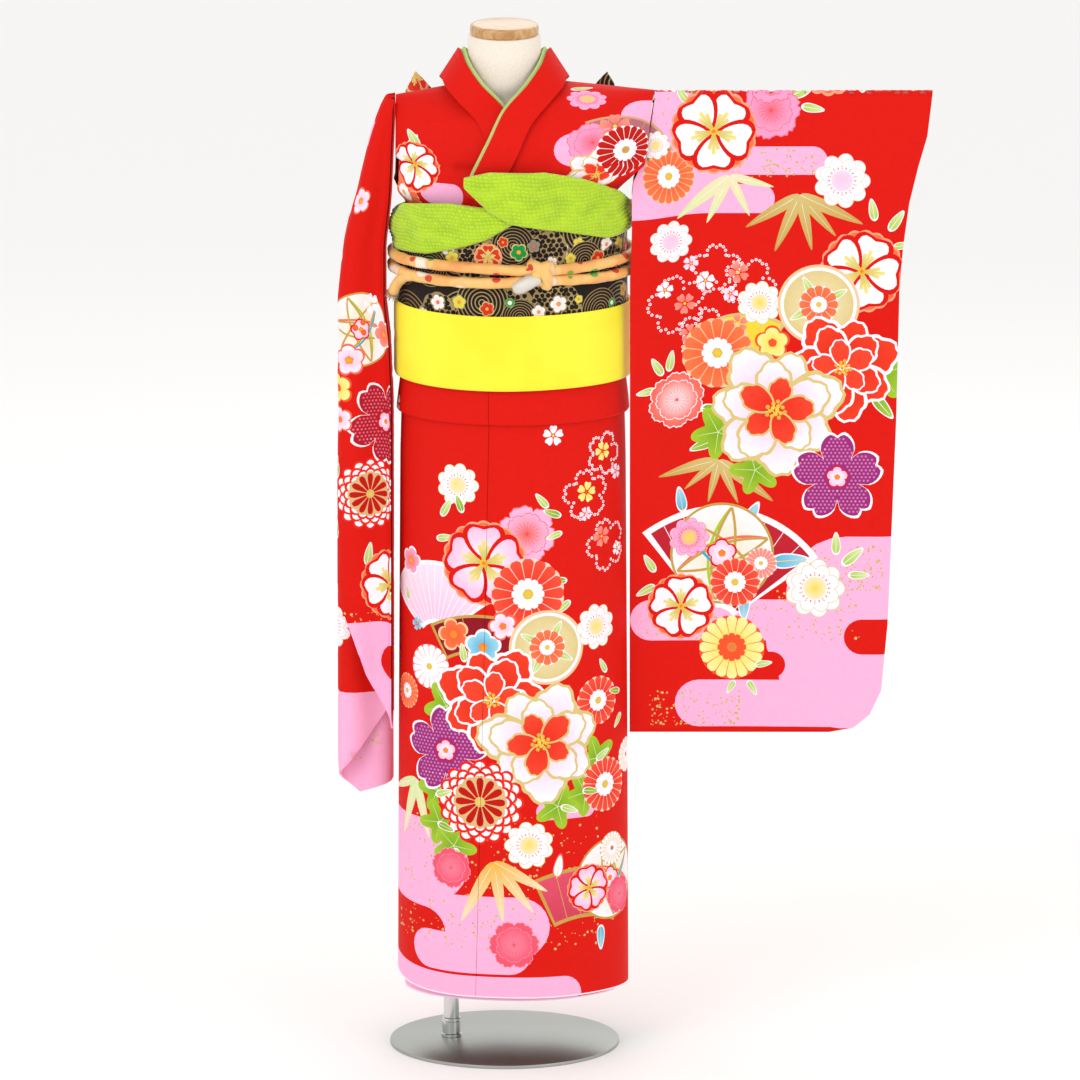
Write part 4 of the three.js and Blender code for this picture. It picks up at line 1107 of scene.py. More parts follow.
# Printed crepe: fine crinkled silk-like cloth, half matt, the gold printed in metal powder.
def printed(name, thread_mm=0.55, roughness=0.66, crinkle=0.25, sheen=0.0):
    """Cloth in the colours kept at its faces' corners, metallic where their alpha says gold."""
    material, shader = new_material(name, roughness=roughness, sheen_weight=sheen, sheen_roughness=0.4,
                                    specular_ior_level=0.12)
    colors = node(material, "ShaderNodeAttribute", attribute_name="print")
    mottle = noise_on(material, 1000 / 7, 4.0, "UV")
    shade = ranged(material, mottle, 0.92, 1.04)
    tint = node(
        material, "ShaderNodeVectorMath", links={0: colors.outputs["Color"], "Scale": shade},
        operation="SCALE",
    )
    join_socket(material, tint.outputs["Vector"], shader, "Base Color")
    metal = node(material, "ShaderNodeMath", {1: 0.75}, {0: colors.outputs["Alpha"]}, operation="MULTIPLY")
    join_socket(material, metal.outputs["Value"], shader, "Metallic")
    rough = ranged(material, colors.outputs["Alpha"], roughness, 0.34)
    join_socket(material, rough, shader, "Roughness")
    crepe = noise_on(material, 1000 / thread_mm / 1.6, 2.0, "UV")
    rib = node(
        material, "ShaderNodeTexWave", {"Scale": THREAD_WAVES / thread_mm, "Distortion": 2.0, "Detail": 1.0},
        {"Vector": node(material, "ShaderNodeTexCoord").outputs["UV"]}, bands_direction="Y",
    )
    both = node(material, "ShaderNodeMath", links={0: crepe, 1: rib.outputs["Fac"]}, operation="ADD")
    bumped(material, shader, both.outputs["Value"], crinkle, thread_mm * 0.5 * MM)
    return material


crepe = printed("printed_crepe")
lining, shader = new_material(
    "plain_red_lining", base_color=linear("#C4200E"), roughness=0.55, sheen_weight=0.2, sheen_roughness=0.4
)
woven(lining, shader, 0.5, 0.25, "UV")

# Front of the kimono, as seen from the front: places in photo pixels.
FRONT_CLOUDS = [
    ("cloud", 574, 152, 17, 60, "pink"), ("cloud", 633, 214, 13, 50, "pink"),
    ("cloud", 429, 196, 11, 22, "pink"), ("cloud", 640, 120, 26, 40, "pink"),
    ("cloud", 380, 848, 42, 50, "pink"), ("cloud", 395, 886, 22, 40, "pink"),
    ("cloud", 430, 922, 31, 88, "pink"), ("cloud", 368, 919, 23, 58, "red"),
    ("cloud", 380, 978, 19, 183, "pink"), ("cloud", 430, 950, 20, 80, "pink"),
    ("cloud", 545, 811, 9, 42, "pink"),
]
FRONT_MOTIFS = [
    ("daisy", 630, 196, 26, 0, "red"), ("double", 591, 146, 22, 20, "blush"),
    ("peony", 594, 176, 26, 40, "peony_white"), ("five", 612, 132, 17, 15, "coral"),
    ("mum", 624, 150, 28, 0, "crest"), ("daisy", 620, 192, 15, 0, "cream"),
    ("ruffle", 653, 147, 15, 0, "sun"), ("mum", 664, 180, 26, 0, "orange"),
    ("leaf", 408, 150, 26, 120, "green"), ("leaf", 420, 148, 28, 60, "green"),
    ("leaf", 424, 155, 26, 20, "green"), ("leaf", 402, 180, 22, 170, "green"),
    ("mum", 402, 194, 19, 0, "orange"), ("cherry", 414, 166, 27, 30, "framed"),
    ("five", 403, 402, 12, 0, "snow"), ("five", 553, 436, 12, 20, "snow"),
    ("ruffle", 458, 485, 23, 20, "sun"), ("leaf", 442, 516, 22, 120, "green"),
    ("leaf", 463, 513, 20, 70, "dark"), ("leaf", 437, 538, 20, 170, "green"),
    ("double", 527, 534, 30, 15, "pink"), ("leaf", 548, 508, 20, 50, "green"),
    ("leaf", 561, 516, 20, 20, "dark"), ("leaf", 562, 532, 18, -20, "green"),
    ("dots", 586, 495, 26, 10, "plain"), ("dots", 604, 453, 22, 40, "plain"),
    ("dots", 607, 544, 27, 0, "plain"), ("five", 602, 451, 11, 0, "yellow"),
    ("five", 586, 492, 12, 30, "yellow"), ("five", 615, 471, 9, 10, "pink"),
    ("five", 601, 536, 12, 0, "coral"), ("five", 585, 514, 8, 0, "pink"), ("five", 616, 548, 8, 40, "snow"),
    ("cherry", 484, 563, 42, 18, "white"), ("leaf", 546, 570, 22, 30, "green"),
    ("leaf", 567, 580, 20, 0, "dark"), ("leaf", 570, 600, 20, -40, "green"),
    ("daisy", 528, 594, 37, 0, "red"), ("plum", 454, 634, 17, 0, "orange"),
    ("plum", 483, 647, 19, 20, "blue"), ("plum", 503, 626, 15, 0, "pink"), ("five", 418, 623, 8, 0, "blue"),
    ("medal", 547, 647, 38, 0, "orange"), ("ruffle", 596, 626, 24, 0, "sun"),
    ("daisy", 430, 666, 23, 10, "snow"), ("leaf", 465, 662, 20, 80, "green"),
    ("leaf", 446, 688, 22, 250, "dark"), ("leaf", 446, 718, 20, 200, "green"),
    ("daisy", 598, 700, 25, 0, "red"), ("leaf", 606, 672, 18, 60, "green"),
    ("leaf", 619, 690, 18, 10, "dark"), ("leaf", 620, 712, 18, -50, "green"),
    ("lobed", 447, 706, 27, 200, "green"), ("lobed", 597, 758, 25, 0, "green"),
    ("lobed", 585, 792, 25, 60, "green"), ("lobed", 557, 806, 24, 40, "green"),
    ("lobed", 438, 790, 24, 150, "green"), ("lobed", 440, 822, 24, 210, "green"),
    ("lobed", 454, 846, 24, 260, "green"), ("daisy", 625, 754, 18, 0, "cream"),
    ("shibori", 446, 750, 48, 18, "purple"), ("peony", 492, 700, 52, 20, "peony_red"),
    ("peony", 541, 742, 57, 60, "peony_white"), ("scallop", 480, 802, 44, 0, "coral"),
    ("leaf", 436, 795, 20, 160, "green"), ("leaf", 438, 823, 20, 200, "dark"),
    ("leaf", 455, 848, 20, 250, "green"), ("mum", 605, 784, 28, 0, "red"),
    ("leaf", 596, 760, 20, 150, "green"), ("leaf", 582, 790, 20, 190, "dark"),
    ("leaf", 560, 806, 20, 200, "green"), ("ruffle", 529, 845, 25, 0, "sun"),
    ("leaf", 556, 878, 26, 100, "snow"), ("ball", 610, 878, 42, 20, "cream"),
    ("mum", 612, 848, 17, 0, "cream"), ("cherry", 589, 888, 24, 10, "white"),
    ("double", 619, 894, 20, 0, "glow"), ("double", 451, 868, 21, 20, "glow"),
    ("double", 514, 945, 25, 0, "glow"), ("leaf", 601, 925, 26, -90, "blue"),
    ("mum", 408, 690, 18, 0, "orange"), ("plum", 412, 560, 15, 30, "rose"),
    ("leaf", 410, 600, 16, 70, "green"),
]
# The unseen back, in the same scale and colours: across from the middle seam and height, in mm.
BACK_CLOUDS = [
    ("cloud", -180, 230, 46, 160, "pink"), ("cloud", 30, 150, 44, 150, "pink"),
    ("cloud", -60, 320, 20, 120, "pink"), ("cloud", -120, 140, 18, 90, "red"),
    ("cloud", -40, 690, 18, 130, "pink"), ("cloud", 60, 1010, 18, 70, "pink"),
    ("cloud", -150, 1040, 16, 60, "pink"),
]
BACK_MOTIFS = [
    ("cherry", -60, 660, 42, 18, "white"), ("double", 50, 640, 34, 40, "pink"),
    ("leaf", 80, 680, 24, 40, "green"), ("mum", 110, 590, 30, 0, "orange"),
    ("shibori", -110, 560, 42, 18, "purple"), ("medal", 0, 540, 40, 0, "orange"),
    ("lobed", -120, 430, 28, 180, "green"), ("lobed", 110, 440, 28, 0, "green"),
    ("peony", -70, 450, 56, 30, "peony_red"), ("peony", 60, 430, 56, 60, "peony_white"),
    ("leaf", -10, 400, 26, 250, "green"), ("cherry", 130, 480, 26, 0, "snow"),
    ("scallop", -135, 350, 40, 0, "coral"), ("daisy", 120, 350, 30, 0, "red"),
    ("ball", 30, 300, 36, 0, "cream"), ("cherry", -50, 240, 32, 0, "white"),
    ("plum", 90, 230, 18, 0, "yellow"), ("leaf", -120, 270, 24, 120, "dark"),
    ("plum", -20, 170, 20, 0, "coral"), ("cherry", 120, 150, 28, 30, "snow"),
    ("mum", -60, 1030, 24, 0, "red"), ("cherry", 60, 1040, 26, 20, "white"),
    ("leaf", 30, 1065, 20, 200, "green"), ("plum", -110, 1000, 15, 0, "orange"),
    ("dots", 0, 620, 26, 0, "plain"), ("plum", -150, 660, 14, 0, "yellow"),
]
BACK_MIDDLE = ROUND_HALF - round_from_angle(angle_at(BODY_X, 500))


def way_from_height(z):
    """Length along the front for a visible height: skirt, tuck face or chest."""
    if z < TUCK_BOTTOM:
        return float(np.interp(z, way_z[: SKIRT_TOP_I + 1], way_lengths[: SKIRT_TOP_I + 1]))
    if z < CHEST_Z:
        return float(np.interp(z, way_z[TUCK_FACE_I : CHEST_I + 1], way_lengths[TUCK_FACE_I : CHEST_I + 1]))
    return way_lengths[CHEST_I] + SHOULDER_ARC * min(1, (z - CHEST_Z) / (RIDGE_Z - CHEST_Z)) ** 1.25


def front_spot(px, py):
    """Flat place on the front cloth of a point seen in the photo."""
    x = (px - AXIS_PX[0]) * PIXEL_MM
    up = (AXIS_PX[1] - py) * PIXEL_MM
    z = up / VIEW_COS
    for _ in range(4):
        low = min(z, CHEST_Z)
        a = body_width(low, x > BODY_X)
        c = min(1, abs(x - BODY_X) / a)
        depth = read(HALF_DEPTH, low) * (1 - c ** body_power(low)) ** (1 / body_power(low))
        if z > CHEST_Z:
            depth *= math.cos(math.asin(min(1, (z - CHEST_Z) / (RIDGE_Z - CHEST_Z))))
        z = (up + depth * VIEW_SIN) / VIEW_COS
    return round_from_angle(angle_at(x, z)), way_from_height(z)


def back_spot(across, z):
    """Flat place on the back cloth, across from the middle seam and up."""
    return BACK_MIDDLE + across, 2 * WAY_HALF - way_from_height(z)


def photo_bamboo(spot, x, y, tips, petal, rim, gold=0.0):
    """A spray of bamboo leaves from one stem."""
    shapes = []
    for tx, ty in tips:
        shapes += blade(*spot(x, y), *spot(tx, ty), petal, rim, gold)
    return shapes


body_shapes = paint(FRONT_CLOUDS, front_spot)
dust_low, dust_high = front_spot(400, 935), front_spot(600, 860)
body_shapes += gold_dust(dust_high[0], dust_low[1], dust_low[0], dust_high[1] + 60, 420, 4)
body_shapes += fan(*front_spot(436, 640), 20, 92, 0.6, 2.5, PINK, PALE_PINK, WHITE, 14, 0)
body_shapes += fan(*front_spot(480, 720), 78, 122, 1.05, 2.1, MAROON, "#8A1020", GOLD, 3)
body_shapes += fan(*front_spot(585, 1060), 90, 150, 1.15, 2.05, MAROON, "#E0506A", GOLD, 5)
body_shapes += paint(
    [("ruffle", 584, 110, 17, 0, "blush"), ("leaf", 568, 100, 20, 150, "green")], front_spot,
)
body_shapes += fan(*front_spot(611, 176), 40, 74, 1.1, 3.0, "#A8525E", "#B9707A", "#D9A878", 6)
body_shapes += photo_bamboo(front_spot, 417, 779, [(398, 789), (405, 836), (430, 839)], PALE_LEAF, CREAM)
body_shapes += photo_bamboo(
    front_spot, 494, 862, [(461, 921), (503, 922), (533, 912), (547, 891)], "#EFB43A", CREAM
)
body_shapes += paint(FRONT_MOTIFS, front_spot)
body_shapes += paint(BACK_CLOUDS, back_spot, 1.0)
body_shapes += fan(*back_spot(0, 470), 60, 130, -2.1, -1.0, MAROON, "#E0506A", GOLD, 8)
body_shapes += paint(BACK_MOTIFS, back_spot, 1.0)

HEM_LINE = 1.6
for base in (0, 2 * WAY_HALF - HEM_LINE):
    body_shapes.append(([(0, base), (ROUND_HALF, base), (ROUND_HALF, base + HEM_LINE), (0, base + HEM_LINE)],
                        dyed(PALE_PINK)))
body_across = list(np.arange(4, ROUND_HALF, 9))
body_along = sorted(
    set(list(np.arange(6, 2 * WAY_HALF, 10)) + way_lengths + [2 * WAY_HALF - w for w in way_lengths])
)
red_ground = dyed(RED)
for name, left in (("body_left_cloth", True), ("body_right_cloth", False)):
    border = body_border(left)
    piece = cut_cloth(
        name, border, body_across, body_along, body_shapes, red_ground, body_place(left), [crepe, lining],
        CLOTH,
    )
    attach(piece, "root")
    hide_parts("body_left" if left else "body_right")
    abs(signed_area(border)) * MM * MM

# Overlap panels, sewn to the front edges; the left one lies outside and shows.
for name, outer in (("overlap_left_cloth", True), ("overlap_right_cloth", False)):
    border = overlap_border(outer)
    piece = cut_cloth(
        name, border, body_across, body_along, body_shapes, red_ground, overlap_place(outer),
        [crepe, lining], CLOTH,
    )
    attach(piece, "root")
    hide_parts("okumi_left" if outer else "okumi_right")
    abs(signed_area(border)) * MM * MM

# Long sleeves of the same crepe, each one rectangle folded at the top and sewn along the bottom
# and the lower cuff edge. The wearer's left one is held out flat by the rod in its top fold,
# and the wearer's right one hangs folded beside the body.
CUFF_LINE = [(361, 364), (367, 395), (382, 413), (410, 426), (486, 433), (590, 437), (724, 442), (871, 445),
             (922, 449), (975, 456), (1018, 466), (1053, 476), (1103, 482)]
ARM_LINE = [(361, 141.5), (900, 141.5), (940, 143.5), (1000, 143.5), (1015, 150.8), (1030, 160.2),
            (1060, 163.7), (1103, 170.2)]
SLEEVE_DEPTH = [(361, 1.9), (372, 2.8), (800, 3.6), (960, 7), (1040, 10.5), (1070, 10), (1088, 8.7),
                (1094.8, 8.3), (1098.5, 7.4), (1101, 5.4), (1102.4, 3), (1103, 0.8)]
SLEEVE_WALL = 1.6
SLEEVE_LOW = 361.6
SLEEVE_LENGTH = 1102.6 - SLEEVE_LOW
WRIST_LOW = 910


def spread_place(x, t):
    """Place of the spread sleeve's cloth: across, and along it over the rod."""
    front = t <= SLEEVE_LENGTH
    z = SLEEVE_LOW + (t if front else 2 * SLEEVE_LENGTH - t)
    arm = smooth(-x, -200, -146) * smooth(z, 940, 1040)
    near = smooth(-x, -230, -141) * smooth(z, 480, 760) * (1 - smooth(z, 965, 1030))
    wave = 2.5 * math.sin((x - 150) / 60) * smooth(-z, -1000, -400) - 41 * near
    depth = read(SLEEVE_DEPTH, z) + 7 * arm * (1 if z < 1095 else 0.4) - SLEEVE_WALL / 2
    sewn = (1 - smooth(read(CUFF_LINE, z) - x, 1, 9)) * (1 - smooth(z, WRIST_LOW - 12, WRIST_LOW))
    depth = mix(depth, SLEEVE_WALL * 0.47, max(sewn, 1 - smooth(z, SLEEVE_LOW, SLEEVE_LOW + 7)))
    fold = 1.5 * math.sin((z - 0.45 * x - 700) / 26) * smooth(x, 300, 440) * smooth(z, 900, 1000)
    fold *= 1 - smooth(z, 1050, 1095)
    return (x, wave + fold + (-1 if front else 1) * max(0.3, depth), z)


def sleeve_spot(px, py):
    """Flat place on the spread sleeve's front of a point seen in the photo."""
    x = (px - AXIS_PX[0]) * PIXEL_MM
    up = (AXIS_PX[1] - py) * PIXEL_MM
    z = up / VIEW_COS
    for _ in range(3):
        z = (up - spread_place(x, max(0, z - SLEEVE_LOW))[1] * VIEW_SIN) / VIEW_COS
    return x, z - SLEEVE_LOW


SLEEVE_MIDDLE_X = 300


def sleeve_back_spot(px, py):
    """The same place mirrored on to the sleeve's back."""
    x, t = sleeve_spot(px, py)
    return 2 * SLEEVE_MIDDLE_X - x, 2 * SLEEVE_LENGTH - t


SLEEVE_CLOUDS = [
    ("cloud", 612, 122, 26, 70, "pink"), ("cloud", 690, 162, 14.5, 122, "pink"),
    ("cloud", 640, 176, 30, 60, "pink"), ("cloud", 612, 207, 15, 147, "pink"),
    ("cloud", 846, 595, 60, 80, "pink"), ("cloud", 651, 620, 21, 220, "pink"),
    ("cloud", 840, 668, 62, 80, "pink"), ("cloud", 699, 703, 24, 200, "pink"),
    ("cloud", 800, 640, 34, 60, "pink"), ("cloud", 640, 665, 13.5, 132, "red"),
    ("cloud", 862, 637, 18, 60, "red"),
]
SLEEVE_MOTIFS = [
    ("leaf", 688, 105, 20, 130, "green"), ("leaf", 676, 92, 16, 150, "green"),
    ("leaf", 790, 98, 26, 20, "green"), ("leaf", 800, 108, 24, -10, "green"),
    ("double", 770, 112, 30, 10, "blush"), ("cherry", 713, 133, 42, 54, "framed"),
    ("ruffle", 841, 182, 29, 0, "petal"), ("leaf", 874, 222, 24, 100, "green"),
    ("leaf", 888, 232, 26, 55, "green"), ("leaf", 892, 248, 20, 10, "green"),
    ("cherry", 861, 272, 41, 66, "framed"), ("ruffle", 670, 243, 22, 0, "petal"),
    ("dots", 716, 270, 26, 90, "plain"), ("dots", 748, 285, 28, 60, "plain"),
    ("dots", 676, 305, 30, 30, "plain"), ("dots", 705, 335, 28, 80, "plain"),
    ("five", 690, 264, 9, 0, "pink"), ("five", 705, 281, 11, 20, "snow"),
    ("five", 738, 273, 12, 40, "coral"), ("five", 664, 291, 10, 10, "snow"),
    ("five", 684, 304, 12, 50, "coral"), ("five", 730, 294, 9, 5, "pink"),
    ("five", 738, 324, 11, 30, "coral"), ("five", 689, 334, 11, 15, "coral"),
    ("ruffle", 759, 303, 23, 0, "sun"), ("medal", 818, 305, 41, 0, "orange"),
    ("daisy", 717, 353, 36, 0, "orange"), ("plum", 772, 343, 18, 20, "yellow"),
    ("leaf", 662, 376, 22, 120, "green"), ("leaf", 668, 372, 22, 80, "green"),
    ("leaf", 655, 390, 20, 190, "green"), ("double", 676, 400, 29, 25, "coral"),
    ("leaf", 700, 408, 30, -10, "dark"), ("leaf", 715, 440, 28, 200, "dark"),
    ("leaf", 745, 465, 28, -70, "dark"), ("leaf", 878, 350, 34, -10, "dark"),
    ("leaf", 872, 395, 32, -50, "dark"), ("lobed", 882, 372, 30, 10, "green"),
    ("lobed", 718, 432, 28, 190, "green"), ("lobed", 755, 470, 26, 250, "green"),
    ("peony", 842, 368, 52, 20, "peony_red"), ("peony", 775, 410, 63, 70, "peony_white"),
    ("shibori", 837, 477, 48, 90, "purple"), ("leaf", 683, 512, 28, 100, "blue"),
    ("leaf", 742, 530, 34, 60, "blue"), ("leaf", 770, 562, 40, 5, "blue"),
    ("leaf", 744, 590, 32, -90, "blue"), ("ball", 722, 553, 52, 20, "cream"),
    ("ruffle", 689, 537, 21, 0, "blush"), ("mum", 761, 563, 16, 0, "coral"),
    ("leaf", 655, 572, 22, 120, "green"), ("leaf", 655, 585, 22, 210, "green"),
    ("cherry", 681, 606, 33, 90, "framed"), ("daisy", 735, 582, 25, 0, "red"),
    ("leaf", 836, 555, 24, 90, "green"), ("leaf", 842, 565, 28, 40, "green"),
    ("leaf", 848, 575, 22, 0, "green"), ("ruffle", 815, 588, 31, 0, "sun"),
    ("daisy", 732, 647, 33, 0, "yellow"), ("leaf", 755, 665, 18, 10, "green"),
    ("leaf", 748, 680, 18, -60, "green"), ("leaf", 735, 680, 16, -120, "green"),
]
sleeve_shapes = []
for spot in (sleeve_spot, sleeve_back_spot):
    shapes = paint(SLEEVE_CLOUDS, spot)
    for x0, y0, x1, y1, count, seed in (
        (625, 95, 700, 150, 90, 1), (730, 178, 820, 150, 110, 2), (800, 590, 885, 545, 200, 3),
        (640, 640, 720, 600, 60, 5), (650, 725, 740, 690, 140, 6), (740, 640, 860, 590, 120, 8),
    ):
        (ax, ay), (bx, by) = spot(x0, y0), spot(x1, y1)
        shapes += gold_dust(ax, ay, bx, by, count, seed)
    turn = 1 if spot is sleeve_spot else -1
    rose_fan, dark_fan, gold_fan = (
        sorted((turn * low, turn * high)) for low, high in ((0.15, 1.2), (0.62, 2.2), (1.0, 2.3))
    )
    shapes += fan(*spot(611, 176), 40, 74, *rose_fan, "#A8525E", "#B9707A", "#D9A878", 4)
    shapes += paint([("mum", 668, 178, 26, 0, "orange"), ("ruffle", 655, 147, 15, 0, "sun")], spot)
    shapes += fan(*spot(716, 628), 24, 142, *dark_fan, MAROON, "#C02030", WHITE, 9, 0)
    shapes += fan(*spot(745, 385), 30, 84, *gold_fan, "#F4C93A", YELLOW, PALE_GOLD, 4)
    shapes += photo_bamboo(
        spot, 729, 177, [(773, 188), (749, 217), (706, 224), (676, 220)], CREAM, PALE_LEAF,
    )
    shapes += photo_bamboo(
        spot, 799, 196, [(745, 228), (774, 252), (811, 251), (835, 237), (862, 225)], PALE_GOLD, GOLD, 0.6
    )
    shapes += paint(SLEEVE_MOTIFS[:36], spot)
    shapes += photo_bamboo(
        spot, 719, 460, [(658, 477), (684, 489), (708, 502), (738, 503), (773, 501)], PALE_GOLD, GOLD, 0.6
    )
    shapes += paint(SLEEVE_MOTIFS[36:], spot)
    sleeve_shapes += shapes

half_border = [(z - SLEEVE_LOW) for z, _ in CUFF_LINE if z > SLEEVE_LOW and z < 1102] + [0, SLEEVE_LENGTH]
half_border = sorted(set(half_border + list(np.arange(12, SLEEVE_LENGTH, 14))))
whole_border = half_border + [2 * SLEEVE_LENGTH - t for t in reversed(half_border[:-1])]
sleeve_border = [
    (read(CUFF_LINE, SLEEVE_LOW + min(t, 2 * SLEEVE_LENGTH - t)), t) for t in whole_border
] + [(read(ARM_LINE, SLEEVE_LOW + min(t, 2 * SLEEVE_LENGTH - t)), t) for t in reversed(whole_border)]
top_rows = [
    SLEEVE_LENGTH + k for k in (
        -42, -32, -22, -14, -8, -4.2, -1.7, -0.5, 0, 0.5, 1.7, 4.2, 8, 14, 22, 32, 42,
    )
]
spread_sleeve = cut_cloth(
    "spread_sleeve_cloth", sleeve_border, list(np.arange(146, 480, 10)),
    sorted(
        list(np.arange(5, 2 * SLEEVE_LENGTH, 11)) + top_rows + [
            3, 7, 2 * SLEEVE_LENGTH - 3, 2 * SLEEVE_LENGTH - 7,
        ]
    ),
    sleeve_shapes, red_ground, spread_place, [crepe, lining], SLEEVE_WALL, flip=False,
)
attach(spread_sleeve, "root")
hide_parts("sleeve_left")
abs(signed_area(sleeve_border)) * MM * MM

# The hanging sleeve: the same bag laid in four runs beside the body, its turns round.
RUN_LENGTH = [
    (280, 300), (650, 300), (780, 290), (852, 262), (952, 205), (1043, 125), (1075, 85), (1098, 52),
]
RUN_DEPTH = [(280, 66), (700, 66), (1000, 56), (1098, 40)]
FOLD_INNER = [(280, -127), (745, -127), (820, -130), (865, -135.2), (930, -135.2), (985, -129), (1098, -124)]
FOLD_BOTTOM = [
    (0, 372), (0.12, 428), (0.24, 530), (0.4, 470), (0.55, 380), (0.7, 320), (0.85, 284), (1, 300),
]
FOLD_WIDTH = 300
FOLD_TOP = 1095.4
FOLD_WALL = 1.3
SWING = 2.02
RUN_STEPS = 56
folded_lines = {}


def mean_forward(swing):
    """How far a winding line gets forward for its length."""
    return sum(math.cos(swing * math.sin(2 * math.pi * (i + 0.5) / 40)) for i in range(40)) / 40


def folded_line(z):
    """The run of the folded cloth at one height, as points seen from above."""
    key = round(z / 2)
    if key not in folded_lines:
        z = key * 2
        total, depth = read(RUN_LENGTH, z), read(RUN_DEPTH, z)
        low, high = 0, SWING + 0.25
        for _ in range(20):
            swing = (low + high) / 2
            if mean_forward(swing) > depth / total:
                low = swing
            else:
                high = swing
        points = [(0.0, 0.0)]
        for i in range(RUN_STEPS):
            turn = low * math.sin(4 * math.pi * (i + 0.5) / RUN_STEPS)
            x, y = points[-1]
            step = total / RUN_STEPS
            points.append((x - step * math.sin(turn), y + step * math.cos(turn)))
        folded_lines[key] = points
    return folded_lines[key]


def hanging_place(s, w):
    """Place of the hanging sleeve's cloth: along its runs, and up and over the top fold."""
    side = -1 if w <= FOLD_TOP else 1
    z = w if side < 0 else 2 * FOLD_TOP - w
    t = s / FOLD_WIDTH
    points = folded_line(z)
    at = min(RUN_STEPS - 1e-6, max(0, t * RUN_STEPS))
    i = int(at)
    (x0, y0), (x1, y1) = points[i], points[i + 1]
    dx, dy = x1 - x0, y1 - y0
    size = math.hypot(dx, dy)
    v = (z - read(FOLD_BOTTOM, t)) / (FOLD_TOP - read(FOLD_BOTTOM, t))
    end = min(1, max(0, v * 60), max(0, (1 - v) * 60), (1 - t) * 40)
    half = max(0.6, 2.4 * (0.45 + 0.55 * end) - FOLD_WALL / 2)
    return (
        read(FOLD_INNER, z) + mix(x0, x1, at - i) + side * half * dy / size,
        4 - read(RUN_DEPTH, z) / 2 + mix(y0, y1, at - i) - side * half * dx / size, z,
    )


RUN_PX_MM = 1.42
FOLD_EDGE_PX = 392


def hanging_spot(px, py):
    """Flat place on the front run of a point seen in the photo."""
    return (FOLD_EDGE_PX - px) * RUN_PX_MM, ((AXIS_PX[1] - py) * PIXEL_MM + 5) / VIEW_COS


def hanging_cloth_spot(s, z):
    """Flat place on the hanging sleeve's outer side."""
    return s, z


def hanging_inner_spot(s, z):
    """Flat place on the hanging sleeve's inner side."""
    return s, 2 * FOLD_TOP - z


HANGING_CLOUDS = [
    ("cloud", 355, 700, 80, 60, "pink"), ("cloud", 392, 661, 17, 30, "red"),
    ("cloud", 394, 748, 21, 30, "red"),
]
HANGING_FRONT = [
    ("ball", 362, 330, 38, 10, "cream"), ("five", 374, 305, 12, 0, "snow"),
    ("berries", 362, 328, 10, 0, "orange"), ("plum", 352, 360, 17, 10, "pink"),
    ("plum", 386, 335, 16, 0, "coral"), ("plum", 342, 389, 17, 0, "yellow"),
    ("shibori", 384, 422, 45, 126, "deep"), ("leaf", 340, 480, 24, 90, "dark"),
    ("leaf", 340, 540, 26, 80, "dark"), ("scallop", 369, 494, 37, 0, "deep"),
    ("leaf", 366, 565, 24, 100, "green"), ("leaf", 376, 562, 26, 170, "green"),
    ("leaf", 372, 572, 24, 215, "green"), ("cherry", 389, 584, 35, 54, "framed"),
    ("plum", 344, 420, 14, 0, "pink"),
]
# The rest of the hanging sleeve's cloth: across the cloth and height, in mm.
HANGING_REST = [
    ("ruffle", 112, 620, 30, 0, "sun"), ("mum", 140, 690, 32, 0, "coral"),
    ("cherry", 190, 560, 38, 0, "framed"), ("double", 240, 660, 30, 0, "blush"),
    ("peony", 200, 760, 50, 0, "peony_red"), ("medal", 120, 800, 36, 0, "orange"),
    ("plum", 260, 820, 18, 0, "yellow"), ("ruffle", 230, 480, 26, 0, "petal"),
    ("shibori", 150, 470, 36, 0, "purple"), ("cherry", 260, 960, 30, 0, "framed"),
    ("leaf", 230, 900, 26, 60, "green"), ("daisy", 120, 930, 26, 0, "red"), ("plum", 60, 980, 16, 0, "pink"),
    ("leaf", 170, 860, 26, 100, "dark"), ("leaf", 120, 560, 24, 200, "dark"),
]
hanging_shapes = []
for across_at, height, half, length in ((40, 330, 75, 250), (60, 470, 20, 90), (150, 1050, 14, 90)):
    hanging_shapes += cloud(across_at, height, across_at + length, height, half)
    mirrored = 2 * FOLD_TOP - height
    hanging_shapes += cloud(across_at, mirrored, across_at + length, mirrored, half)
hanging_shapes += cloud(250, 345, 330, 345, 16, RED)
hanging_shapes += gold_dust(0, 505, 120, 380, 260, 11)
hanging_shapes += gold_dust(60, 2 * FOLD_TOP - 400, 280, 2 * FOLD_TOP - 320, 220, 12)
hanging_shapes += paint(HANGING_CLOUDS, hanging_spot)
hanging_shapes += paint(HANGING_REST, hanging_cloth_spot, 1.0)
hanging_shapes += paint(HANGING_REST, hanging_inner_spot, 1.0)
hanging_shapes += paint(HANGING_FRONT, hanging_spot)
bottom_steps = list(np.linspace(0, 1, 41))
hanging_border = [(t * FOLD_WIDTH, read(FOLD_BOTTOM, t)) for t in bottom_steps] + [
    (t * FOLD_WIDTH, 2 * FOLD_TOP - read(FOLD_BOTTOM, t)) for t in reversed(bottom_steps)
]
fold_rows = sorted(
    list(np.arange(290, 2 * FOLD_TOP - 290, 13)) + [FOLD_TOP + k for k in (-12, -6, -2, 0, 2, 6, 12)]
)
hanging_sleeve = cut_cloth(
    "hanging_sleeve_cloth", hanging_border, list(np.arange(0, FOLD_WIDTH + 1, FOLD_WIDTH / RUN_STEPS)),
    fold_rows, hanging_shapes, red_ground, hanging_place, [crepe, lining], FOLD_WALL,
)
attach(hanging_sleeve, "root")
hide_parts("sleeve_right")
abs(signed_area(hanging_border)) * MM * MM

